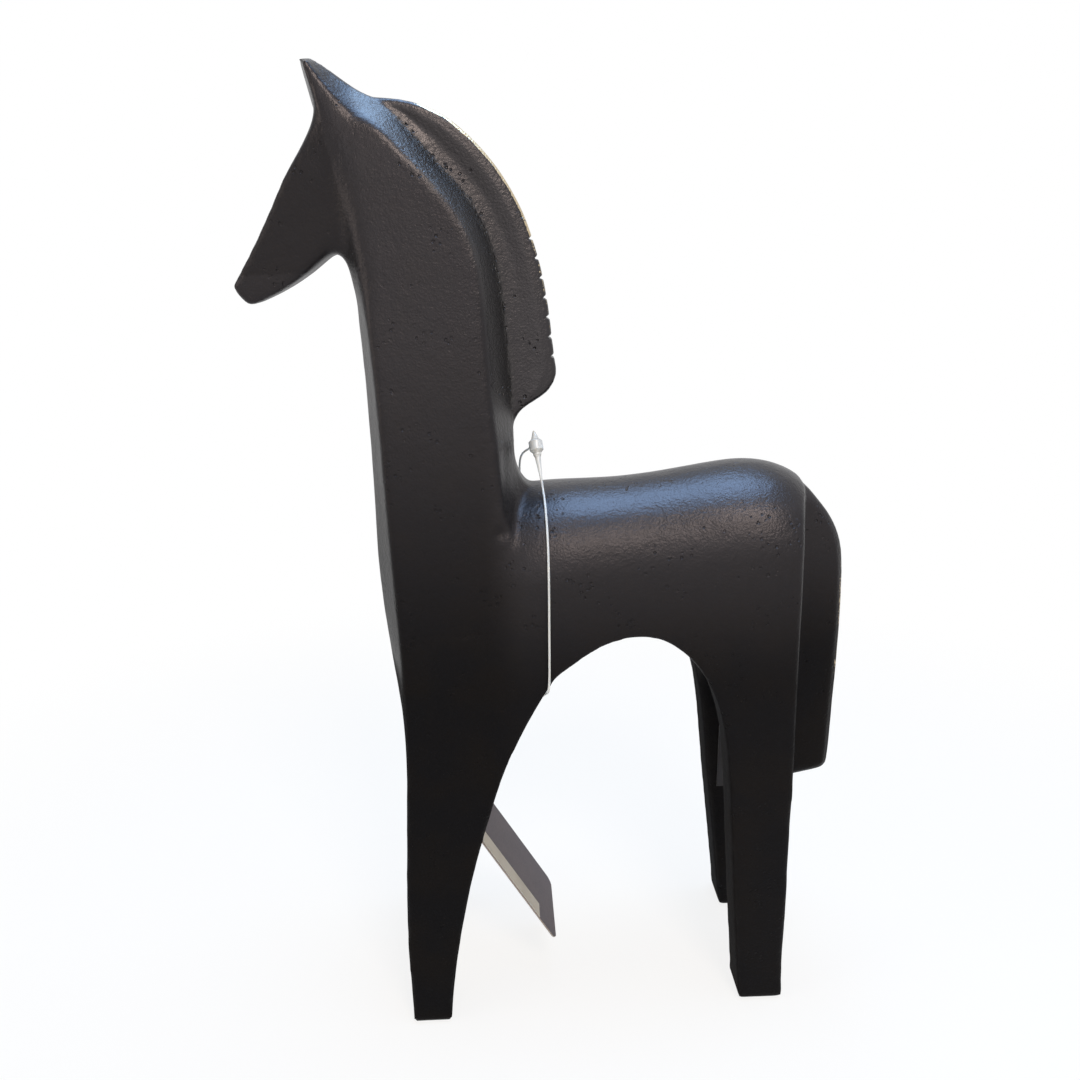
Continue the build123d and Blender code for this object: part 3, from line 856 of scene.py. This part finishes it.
def worn_edges(mesh: bpy.types.Mesh, width: int) -> Array:
    """Measure how far each point stands out on a convex edge.

    Args:
        mesh: A dense skin.
        width: How far the surroundings are averaged, in steps from point to point.

    Returns:
        The share, near 1 on a crisp convex edge.
    """
    points, normals = points_of(mesh), normals_of(mesh)
    first, second, count = edge_ends(mesh)
    mean = points
    for _ in range(width):
        mean = neighbour_mean(mean, first, second, count)
    stand = np.einsum("ij,ij->i", points - mean, normals)
    return rise(stand, 0.15 * MM, 0.45 * MM)


class Region(Enum):
    """The parts of the casting that its one skin is cut into."""

    BODY = 0
    HEAD = 1
    MANE = 2
    TAIL = 3


def region_of(points: Array) -> Array:
    """Sort places on the casting's skin into regions.

    Args:
        points: The places, one row each.

    Returns:
        The number of each place's region.
    """
    x, y, z = points.T
    region = np.full(len(points), Region.BODY.value)
    seat = side_curve(HEAD_SEAT_SHARES)
    in_front = x < np.interp(z, seat[:, 1], seat[:, 0])
    region[in_front & (z > seat[0, 1]) & (z < seat[-1, 1])] = Region.HEAD.value
    crease = side_curve(CREASE_SHARES)
    _, _, beyond = curve_distance(points, crease)
    in_crest = (x > crease[0, 0]) & (z > MANE_EDGE_SHARES[-1][1] * HEIGHT)
    region[beyond & in_crest & (np.abs(y) < MANE_REACH)] = Region.MANE.value
    behind = (x > HAUNCH_END_SHARE * LENGTH) & (z > HAUNCH_FLOOR_SHARE * HEIGHT)
    below = (x > TAIL_FRONT_SHARE * LENGTH) & (np.abs(y) < TAIL_REACH)
    below &= (z > TAIL_FOOT_SHARE * HEIGHT) & (z < HIND_GAP_SHARE * HEIGHT)
    region[behind | below] = Region.TAIL.value
    return region


@dataclass
class Casting:
    """The casting: one softly rounded skin, cut into body halves, head, mane and tail."""

    finish: bpy.types.Material
    voxel: float = 0.74 * MM
    quick_scale: float = 1.6
    cast_rounds: int = 3
    edge_rounds: int = 14
    joint_rounds: int = 70
    joint_core: float = 4 * MM
    joint_reach: float = 15 * MM
    rim_core: float = 1.5 * MM
    rim_reach: float = 4.0 * MM
    wave_size: float = 34 * MM
    wave_height: float = 0.07 * MM
    dimple_size: float = 11 * MM
    dimple_height: float = 0.02 * MM
    crease_width: float = 0.9 * MM
    crease_depth: float = 0.14 * MM
    valley_depth: float = 0.40 * MM
    band_height: float = 0.25 * MM
    rub_width: float = 0.75 * MM
    dent: Sequence[float] = (-17.4 * MM, 165.6 * MM)
    dent_width: float = 1.7 * MM
    dent_depth: float = 1.15 * MM
    groove_place: float = -15.8 * MM
    groove_width: float = 1.1 * MM
    groove_depth: float = 0.30 * MM
    scratch: Sequence[float] = (-28 * MM, 134 * MM)
    scratch_slope: float = 0.22
    scratch_width: float = 0.7 * MM
    scratch_depth: float = 0.20 * MM
    shoulder: Sequence[float] = (-11.5 * MM, 132 * MM)
    shoulder_bow: float = 5.5 * MM
    shoulder_half_height: float = 18 * MM
    shoulder_width: float = 1.0 * MM
    shoulder_depth: float = 0.10 * MM
    notch_first: float = 4.0 * MM
    notch_pitch: float = 5.9 * MM
    notch_count: int = 7
    notch_half_width: float = 0.42 * MM
    notch_depth: float = 1.0 * MM

    def skin(self) -> bpy.types.Mesh:
        """Cover the whole casting with one skin, rounded over at its edges and joints.

        Returns:
            The skin's mesh.
        """
        voxel = self.voxel * 1.0
        nodes = ("left_body_half", "right_body_half", "head", "mane_crest", "tail")
        mesh = cast_skin(nodes, voxel, self.cast_rounds, 0.9 * HEIGHT)
        points = points_of(mesh)
        x, z = points[:, 0], points[:, 2]
        to_mane, _, _ = curve_distance(points, side_curve(MANE_EDGE_SHARES))
        to_tail, _, _ = curve_distance(points, side_curve(TAIL_EDGE_SHARES))
        to_crease, _, _ = curve_distance(points, side_curve(CREASE_SHARES))
        weights = rise(z, 2 * MM, 9 * MM) * rise(z, 0.985 * HEIGHT, 0.955 * HEIGHT)
        weights *= ease(0.15, to_mane, self.rim_core, self.rim_reach)
        weights *= ease(0.25, to_tail, self.rim_core, self.rim_reach)
        weights *= ease(0.40, x, -0.485 * LENGTH, -0.45 * LENGTH)
        weights *= ease(0.50, to_crease, 0.5 * MM, 2.5 * MM)
        soften(mesh, weights, self.edge_rounds)
        to_seat, _, _ = curve_distance(points, side_curve(HEAD_SEAT_SHARES))
        below_ears = rise(z, 0.965 * HEIGHT, 0.925 * HEIGHT)
        joint = rise(to_seat, self.joint_reach, self.joint_core) * below_ears
        soften(mesh, joint, self.joint_rounds)
        return mesh

    def hand_finish(self, mesh: bpy.types.Mesh, edges: Array) -> None:
        """Give the skin the shallow waves of filing and sanding by hand.

        Args:
            mesh: The skin.
            edges: The share by which each point stands on an edge, where the waves fade out.
        """
        points, normals = points_of(mesh), normals_of(mesh)
        height = ripple(points, self.wave_size, 11) * self.wave_height
        height += ripple(points, self.dimple_size, 12) * self.dimple_height
        height *= 1 - 0.9 * edges
        low, high = points.min(0), points.max(0)
        set_points(mesh, np.clip(points + normals * height[:, None], low, high))

    def shape_mane(self, mesh: bpy.types.Mesh) -> None:
        """Press a valley into the mane beside the neck and raise a band along its free edge.

        Args:
            mesh: The skin.
        """
        points, normals = points_of(mesh), normals_of(mesh)
        to_edge, _, _ = curve_distance(points, side_curve(MANE_EDGE_SHARES))
        to_crease, down, _ = curve_distance(points, side_curve(CREASE_SHARES))
        across = to_crease / np.maximum(to_crease + to_edge, 0.01 * MM)
        flat = rise(np.abs(normals[:, 1]), 0.7, 0.95) * (region_of(points) == Region.MANE.value)
        inner = rise(to_edge, 1.6 * MM, 3.4 * MM) * rise(to_crease, 0.2 * MM, 2.2 * MM)
        valley = bell(across - 0.34, 0.16) * ease(0.12, down, 0.80, 0.35)
        band = bell(across - 0.74, 0.15)
        lift = flat * inner * (band * self.band_height - valley * self.valley_depth)
        set_points(mesh, points + np.sign(points[:, 1:2]) * lift[:, None] * np.array([[0, 1, 0]]))

    def roughen_crease(self, mesh: bpy.types.Mesh) -> Array:
        """Make the line where the mane meets the neck uneven.

        Args:
            mesh: The skin.

        Returns:
            The share by which each point lies in the rough line.
        """
        points, normals = points_of(mesh), normals_of(mesh)
        gap, share, _ = curve_distance(points, side_curve(CREASE_SHARES))
        near = rise(gap, self.crease_width * 1.8, 0.2 * self.crease_width) * rise(share, 0.02, 0.10)
        lumps = ripple(points, 2.2 * MM, 21) * 0.45 - 0.55
        set_points(mesh, points + normals * (near * lumps * self.crease_depth)[:, None])
        return near

    def scar(self, mesh: bpy.types.Mesh) -> None:
        """Press the dent, the filed groove, the scratch and the shoulder line into the left side.

        Args:
            mesh: The skin.
        """
        points, normals = points_of(mesh), normals_of(mesh)
        left = rise(-points[:, 1], 8 * MM, 12 * MM)
        x, z = points[:, 0], points[:, 2]
        press = bell(np.hypot(x - self.dent[0], z - self.dent[1]), self.dent_width) * self.dent_depth
        groove = bell(x - self.groove_place, self.groove_width) * self.groove_depth
        press += groove * span(z, 166 * MM, 193 * MM, 5 * MM)
        line = z - self.scratch[1] - self.scratch_slope * (x - self.scratch[0])
        scratch = bell(line, self.scratch_width) * self.scratch_depth
        press += scratch * span(x, -32 * MM, -24 * MM, 1.5 * MM)
        rows = (z - self.shoulder[1]) / self.shoulder_half_height
        bow = x - self.shoulder[0] - self.shoulder_bow * rows ** 2
        shoulder = bell(bow, self.shoulder_width) * self.shoulder_depth
        press += shoulder * span(z, 112 * MM, 152 * MM, 8 * MM)
        press *= left
        set_points(mesh, points - normals * press[:, None])

    def mark(self, mesh: bpy.types.Mesh, edges: Array, rough: Array) -> None:
        """Write what the finish reads: rubbed, polished, rough, pitted and matt places, and the painted
        sheen.

        Args:
            mesh: The skin.
            edges: The share by which each point stands on an edge.
            rough: The share by which each point lies in the mane's rough line.
        """
        points = points_of(mesh)
        x, y, z = points.T
        region = region_of(points)
        to_tail, along, _ = curve_distance(points, side_curve(TAIL_EDGE_SHARES))
        strip = rise(to_tail, self.rub_width * 2.6, self.rub_width) * (region == Region.TAIL.value)
        strip *= 0.40 * rise(along, 0.20, 0.30) * rise(along, 0.80, 0.62)
        ears = rise(z, 288 * MM, 298 * MM) * edges
        poll = rise(z, 262 * MM, 276 * MM) * rise(x, -30 * MM, -36 * MM)
        # The barrel top: smoother, and given a painted highlight through the sheen mark
        top = rise(z, 166 * MM, 172 * MM) * rise(x, -8 * MM, -2 * MM)
        clusters = sum(
            bell(np.hypot(x - place * MM, z - level * MM), reach * MM)
            for place, level, reach in PIT_CLUSTERS
        )
        mane = (region == Region.MANE.value) * 1.0
        barrel = rise(x, -24 * MM, -10 * MM)
        turned = rise(np.abs(normals_of(mesh)[:, 1]), 0.75, 0.45)
        to_crease, _, _ = curve_distance(points, side_curve(CREASE_SHARES))
        # Painted highlight: a lighter, more reflective strip on the body beside the mane's crease
        ridge_highlight = rise(to_crease, 7 * MM, 4 * MM) * (region == Region.BODY.value)
        ridge_highlight *= rise(z, 0.62 * HEIGHT, 0.70 * HEIGHT)
        # Painted sheen: lighter and more reflective with height on the neck and barrel, less on the
        # head, more on the barrel top, mane and ridge
        painted_sheen = (1 - barrel) * 0.66 * rise(z, 110 * MM, 230 * MM)
        painted_sheen += barrel * (0.05 + 0.70 * rise(z, 112 * MM, 168 * MM))
        painted_sheen *= 1 - 0.25 * (region == Region.HEAD.value)
        set_mark(mesh, "rub", edges * 0.02 + ears * 0.05 + strip)
        set_mark(mesh, "polish", poll * 0.9 + top * 0.4)
        set_mark(mesh, "rough", rough * 0.3 + 0.18 * mane + 0.8 * ridge_highlight)
        set_mark(mesh, "pitted", clusters * 0.9 + rough * 0.8)
        set_mark(mesh, "painted_sheen", painted_sheen + top * 0.30 + mane * 0.2 + ridge_highlight * 0.4)
        set_mark(mesh, "matt", turned * rise(z, 125 * MM, 112 * MM))

    def cut(self, form: bmesh.types.BMesh, line: Array) -> None:
        """Cut a skin along an outline of the side view.

        Args:
            form: The skin.
            line: The outline's points, as rows of X and Z.
        """
        reach = 2 * self.voxel
        for start, end in zip(line, line[1:]):
            run = np.linalg.norm(end - start)
            ahead_x, ahead_z = (end - start) / run
            near = []
            for face in form.faces:
                x, z = face.verts[0].co.x - start[0], face.verts[0].co.z - start[1]
                beside = abs(x * ahead_z - z * ahead_x) < reach
                if beside and -reach < x * ahead_x + z * ahead_z < run + reach:
                    near.append(face)
            around = {part for face in near for part in (*face.verts, *face.edges)}
            bmesh.ops.bisect_plane(
                form, geom=[*around, *near], dist=0.0001 * MM, plane_co=(start[0], 0, start[1]),
                plane_no=(ahead_z, 0, -ahead_x),
            )

    def part(self, skin: bpy.types.Mesh, region: Region, owner: Array) -> bmesh.types.BMesh:
        """Take one region out of the skin and close it.

        Args:
            skin: The skin, already cut along the regions' borders.
            region: The region to keep.
            owner: The number of the region of each of the skin's faces.

        Returns:
            The closed form.
        """
        form = bmesh.new()
        form.from_mesh(skin)
        others = [face for face, number in zip(form.faces, owner) if number != region.value]
        bmesh.ops.delete(form, geom=others, context="FACES")
        rims = [edge for edge in form.edges if edge.is_boundary]
        caps = bmesh.ops.holes_fill(form, edges=rims, sides=0)["faces"]
        bmesh.ops.triangulate(form, faces=caps)
        bmesh.ops.recalc_face_normals(form, faces=form.faces)
        return form

    def half(self, body: bmesh.types.BMesh, side: Side) -> bpy.types.Mesh:
        """Cut one half from the body and close it on the middle plane.

        Args:
            body: The whole body's closed form.
            side: The half to keep.

        Returns:
            The half's mesh.
        """
        form = body.copy()
        everything = [*form.verts, *form.edges, *form.faces]
        bmesh.ops.bisect_plane(
            form, geom=everything, dist=0.0001 * MM, plane_co=(0, 0, 0), plane_no=(0, -side.value, 0),
            clear_outer=True,
        )
        rims = [edge for edge in form.edges if edge.is_boundary]
        bmesh.ops.holes_fill(form, edges=rims, sides=0)
        return finished(form, f"{side.name.lower()}_body")

    def crest(self, form: bmesh.types.BMesh) -> bpy.types.Mesh:
        """Refine the mane, file its notches and rub its free edge bright.

        Args:
            form: The mane's closed form.

        Returns:
            The mane's mesh.
        """
        bmesh.ops.subdivide_edges(form, edges=form.edges, cuts=1, use_grid_fill=True)
        mesh = finished(form, "mane")
        points, normals = points_of(mesh), normals_of(mesh)
        curve = side_curve(MANE_EDGE_SHARES)
        to_edge, along, _ = curve_distance(points, curve)
        runs = np.linalg.norm(np.diff(curve, axis=0), axis=1)
        place = along * runs.sum()
        rim_end = runs[:MANE_RIM_RUNS].sum()
        rim = rise(to_edge, 2.2 * MM, 0.8 * MM)
        filed = np.zeros(len(points))
        for notch in range(self.notch_count):
            middle = rim_end - self.notch_first - notch * self.notch_pitch
            filed += bell(place - middle, self.notch_half_width)
        inward = -normals * np.array([[1, 0, 1]])
        set_points(mesh, points + inward * (filed * rim * self.notch_depth)[:, None])
        bright = rise(to_edge, self.rub_width * 1.25, self.rub_width * 0.55)
        strength = 0.85 * rise(along, 0.06, 0.13) * rise(along, 0.55, 0.30)
        strength += 0.40 * rise(along, 0.30, 0.50) * rise(along, 0.84, 0.78)
        layer = mesh.attributes["rub"].data
        layer.foreach_set("value", (bright * strength * (1 - np.clip(filed, 0, 1))).astype(np.float32))
        return mesh

    def build(self) -> None:
        """Make the skin, work on it, cut it up and add its five pieces."""
        skin = self.skin()
        edges = worn_edges(skin, 6)
        self.hand_finish(skin, edges)
        self.shape_mane(skin)
        self.scar(skin)
        self.mark(skin, edges, self.roughen_crease(skin))
        form = bmesh.new()
        form.from_mesh(skin)
        haunch_x = HAUNCH_END_SHARE * LENGTH
        haunch = [(haunch_x, HAUNCH_FLOOR_SHARE * HEIGHT), (haunch_x, TAIL_EDGE_SHARES[0][1] * HEIGHT)]
        for line in (side_curve(HEAD_SEAT_SHARES), side_curve(CREASE_SHARES), np.array(haunch)):
            self.cut(form, line)
        form.to_mesh(skin)
        form.free()
        centres = np.zeros(len(skin.polygons) * 3, np.float32)
        skin.polygons.foreach_get("center", centres)
        owner = region_of(centres.reshape(-1, 3).astype(float))
        body = self.part(skin, Region.BODY, owner)
        meshes = {
            "left_body_half": self.half(body, Side.LEFT),
            "right_body_half": self.half(body, Side.RIGHT),
            "head": finished(self.part(skin, Region.HEAD, owner), "head"),
            "mane_crest": self.crest(self.part(skin, Region.MANE, owner)),
            "tail": finished(self.part(skin, Region.TAIL, owner), "tail"),
        }
        body.free()
        bpy.data.meshes.remove(skin)
        for node, mesh in meshes.items():
            add_piece(f"{node}_skin", mesh, self.finish, Body.HORSE, Slot.CASTING, node)


@dataclass
class FeltFeet:
    """The four felt pads under the feet."""

    finish: bpy.types.Material
    corner_radius: float = 2.2 * MM
    edge_radius: float = 0.25 * MM

    def pad(self, node: str) -> None:
        """Make one pad with rounded corners and a soft upper edge.

        Args:
            node: The CAD node that it replaces.
        """
        low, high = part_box(node)
        size, middle = high - low, (high + low) / 2
        form = bmesh.new()
        bmesh.ops.create_cube(form, size=1.0)
        bmesh.ops.scale(form, vec=size, verts=form.verts)
        bmesh.ops.translate(form, vec=middle, verts=form.verts)
        uprights = [e for e in form.edges if abs(e.verts[0].co.z - e.verts[1].co.z) > 0.5 * size.z]
        bmesh.ops.bevel(
            form, geom=uprights, offset=self.corner_radius, segments=6, profile=0.5,
            affect="EDGES", material=-1,
        )
        rims = [e for e in form.edges if e.is_manifold and e.calc_face_angle() > 1.0]
        bmesh.ops.bevel(
            form, geom=rims, offset=self.edge_radius, segments=2, profile=0.5, affect="EDGES",
            material=-1,
        )
        mesh = finished(form, node, 40.0)
        piece = add_piece(f"{node}_felt", mesh, self.finish, Body.HORSE, Slot.FELT, node)

    def build(self) -> None:
        """Make the four pads."""
        for end in ("front", "hind"):
            for side in ("left", "right"):
                self.pad(f"{end}_{side}_pad")


@dataclass
class LoopPin:
    """The loop pin: a filament round the barrel, with the plug and the socket that close it."""

    finish: bpy.types.Material
    diameter: float = 0.7 * MM
    length: float = 0.299

    def build(self) -> None:
        """Make the filament and dress the plug and the socket."""
        curve = bpy.data.curves.new("filament", "CURVE")
        curve.dimensions = "3D"
        spline = curve.splines.new("NURBS")
        spline.points.add(len(FILAMENT_ROUTE) - 1)
        for point, place in zip(spline.points, FILAMENT_ROUTE):
            point.co = (*place, 1.0)
        spline.order_u = 3
        spline.use_endpoint_u = True
        spline.resolution_u = 8
        curve.bevel_depth = self.diameter / 2
        curve.bevel_resolution = 4
        curve.use_fill_caps = True
        piece = add_piece("filament", curve, self.finish, Body.HORSE, Slot.NYLON, "tag_filament")
        lock = [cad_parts[name] for name in ("lock_plug", "lock_socket")]
        for part in lock:
            dress(part, self.finish)


@dataclass
class HangTag:
    """The card tag with its pale strip, and the dark sticker inside the far hind leg."""

    tilt: float = math.radians(31)
    label_lean: float = math.atan(3.5 / 95.5)

    def build(self) -> None:
        """Dress the card, the strip and the sticker."""
        facing = (math.cos(self.tilt), 0, math.sin(self.tilt))
        low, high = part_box("hang_tag")
        middle = (low + high) / 2
        card = Card(
            "tag_card", face=(0.034, 0.017, 0.026), mottle=(0.052, 0.028, 0.036),
            core=(0.34, 0.29, 0.25), origin=middle, normal=facing, half_thickness=0.25 * MM,
        )
        dress(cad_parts["hang_tag"], card.material())
        low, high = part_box("tag_sticker")
        strip = Card(
            "pale_paper", face=(0.62, 0.58, 0.50), mottle=(0.52, 0.48, 0.41),
            core=(0.75, 0.72, 0.66), origin=(low + high) / 2, normal=facing,
            half_thickness=0.075 * MM, skin=0.008 * MM, gloss=0.5,
        )
        dress(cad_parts["tag_sticker"], strip.material())
        low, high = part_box("leg_label")
        inward = (0, -math.cos(self.label_lean), -math.sin(self.label_lean))
        label = Card(
            "dark_film", face=(0.020, 0.018, 0.020), mottle=(0.034, 0.030, 0.032),
            core=(0.30, 0.29, 0.28), origin=(low + high) / 2, normal=inward,
            half_thickness=0.1 * MM, skin=0.01 * MM, gloss=0.30,
        )
        dress(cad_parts["leg_label"], label.material())
        log.info("tag, strip and label dressed")


@dataclass
class Dowels:
    """The three steel dowels that line the halves up."""

    finish: bpy.types.Material

    def build(self) -> None:
        """Dress the dowels."""
        for place in ("neck", "chest", "rump"):
            dress(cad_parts[f"{place}_dowel"], self.finish)
        log.info("dowels dressed")


@dataclass(frozen=True)
class Softbox:
    """A square studio lamp aimed at the horse."""

    name: str
    place: Sequence[float]
    size: float
    power: float
    colour: Colour = (1.0, 1.0, 1.0)
    target: Sequence[float] = (0.0, 0.0, 0.14)

    def build(self) -> None:
        """Make the lamp."""
        lamp = bpy.data.lights.new(self.name, "AREA")
        lamp.size = self.size
        lamp.energy = self.power
        lamp.color = self.colour
        holder = bpy.data.objects.new(self.name, lamp)
        bpy.context.scene.collection.objects.link(holder)
        holder.location = self.place
        aim = Vector(self.target) - Vector(self.place)
        holder.rotation_euler = aim.to_track_quat("-Z", "Y").to_euler()


@dataclass
class Studio:
    """The camera, the pale floor and the lamps."""

    eye: Sequence[float] = (-0.01765, -0.313, 0.248)
    lens: float = 33.333
    sensor: float = 36.0
    yaw: float = math.radians(2.3)
    pitch: float = math.radians(16.3)
    roll: float = math.radians(1.2)
    floor_half: float = 3.0
    floor_back: float = 1.2
    bend_radius: float = 0.8
    shadow_reach: float = 0.16
    white_reach: float = 0.42
    haze: float = 0.84
    fill: float = 0.32
    pale: Colour = (0.94, 0.88, 0.80)
    paler: Colour = (0.96, 0.90, 0.82)
    daylight: Colour = (0.97, 0.98, 1.0)

    def camera(self) -> None:
        """Make the camera at the photograph's place."""
        forward = Vector((
            math.sin(self.yaw) * math.cos(self.pitch),
            math.cos(self.yaw) * math.cos(self.pitch),
            -math.sin(self.pitch),
        ))
        right = Vector((math.cos(self.yaw), -math.sin(self.yaw), 0))
        down = forward.cross(right)
        right_rolled = right * math.cos(self.roll) + down * math.sin(self.roll)
        down_rolled = down * math.cos(self.roll) - right * math.sin(self.roll)
        data = bpy.data.cameras.new("camera")
        data.lens = self.lens
        data.sensor_width = self.sensor
        data.clip_start = 0.01
        holder = bpy.data.objects.new("camera", data)
        bpy.context.scene.collection.objects.link(holder)
        turn = Matrix((right_rolled, -down_rolled, -forward)).transposed().to_4x4()
        holder.matrix_world = Matrix.Translation(self.eye) @ turn
        bpy.context.scene.camera = holder

    def floor(self) -> None:
        """Make the floor, which bends up into a backdrop."""
        form = bmesh.new()
        start = form.verts.new((-self.floor_half, -self.floor_half, 0))
        edge = form.verts.new((-self.floor_half, self.floor_back, 0))
        form.edges.new((start, edge))
        bend = bmesh.ops.spin(
            form, geom=[edge], cent=(0, self.floor_back, self.bend_radius), axis=(1, 0, 0),
            dvec=(0, 0, 0), angle=math.pi / 2, steps=16,
        )
        top = next(v for v in bend["geom_last"] if isinstance(v, bmesh.types.BMVert))
        lift = bmesh.ops.extrude_vert_indiv(form, verts=[top])
        bmesh.ops.translate(form, vec=(0, 0, 2 * self.floor_half), verts=lift["verts"])
        sweep = bmesh.ops.extrude_edge_only(form, edges=form.edges[:])
        moved = [v for v in sweep["geom"] if isinstance(v, bmesh.types.BMVert)]
        bmesh.ops.translate(form, vec=(2 * self.floor_half, 0, 0), verts=moved)
        bmesh.ops.recalc_face_normals(form, faces=form.faces)
        mesh = bpy.data.meshes.new("floor")
        form.to_mesh(mesh)
        form.free()
        mesh.shade_smooth()
        piece = bpy.data.objects.new("floor", mesh)
        bpy.context.scene.collection.objects.link(piece)
        recipe = Recipe("pale_floor")
        clouds = recipe.noise(40 * MM, 2.0)
        recipe.dress(
            Base_Color=recipe.mix(clouds, self.pale, self.paler),
            Roughness=0.7,
            Specular_IOR_Level=0.1,
        )
        away = (recipe.along((1, 0, 0)) ** 2.0 + recipe.along((0, 1, 0)) ** 2.0) ** 0.5
        outside = away.step(self.shadow_reach, self.white_reach)
        white = recipe.node("ShaderNodeEmission", None, {"Strength": 1.0})
        blend = recipe.node("ShaderNodeMixShader", None, {
            0: (self.haze + (1.0 - self.haze) * outside) * recipe.seen(),
            1: Link(recipe, recipe.shader.outputs[0]),
            2: Link(recipe, white.outputs[0]),
        })
        recipe.tree.links.new(blend.outputs[0], recipe.tree.nodes["Material Output"].inputs[0])
        mesh.materials.append(recipe.material)

    def world(self) -> None:
        """Light the studio softly from all round, white where it is seen."""
        world = bpy.data.worlds.new("studio")
        bpy.context.scene.world = world
        recipe = Recipe("studio", world)
        recipe.dress(Color=self.daylight, Strength=self.fill + (1.0 - self.fill) * recipe.seen())

    def lamps(self) -> None:
        """Make the softboxes."""
        for lamp in (
            Softbox("overhead", (0.08, 0.08, 0.84), 0.42, 6.2, (0.36, 0.62, 1.0)),
            Softbox("front_left", (-0.75, -0.30, 0.34), 0.35, 1.2, (1.0, 0.88, 0.74)),
            Softbox("front_high", (0.20, -0.66, 0.78), 0.24, 4.0, (1.0, 0.88, 0.76)),
            Softbox("front_low", (-0.10, -1.00, 0.42), 0.60, 1.2, (1.0, 0.97, 0.94)),
        ):
            lamp.build()

    def build(self) -> None:
        """Set the studio up."""
        self.camera()
        self.floor()
        self.world()
        self.lamps()
        bpy.context.scene.view_settings.view_transform = "Standard"
        log.info("studio set up")


def main() -> None:
    """Build the horse, its tag and the studio."""
    logging.basicConfig(level=logging.INFO, format="%(name)s %(message)s")
    nylon = ClearNylon().material()
    Studio().build()
    LoopPin(nylon).build()
    Casting(BlackCoat().material()).build()
    FeltFeet(Felt().material()).build()
    HangTag().build()
    Dowels(GroundSteel().material()).build()


if __name__ == "__main__":
    main()
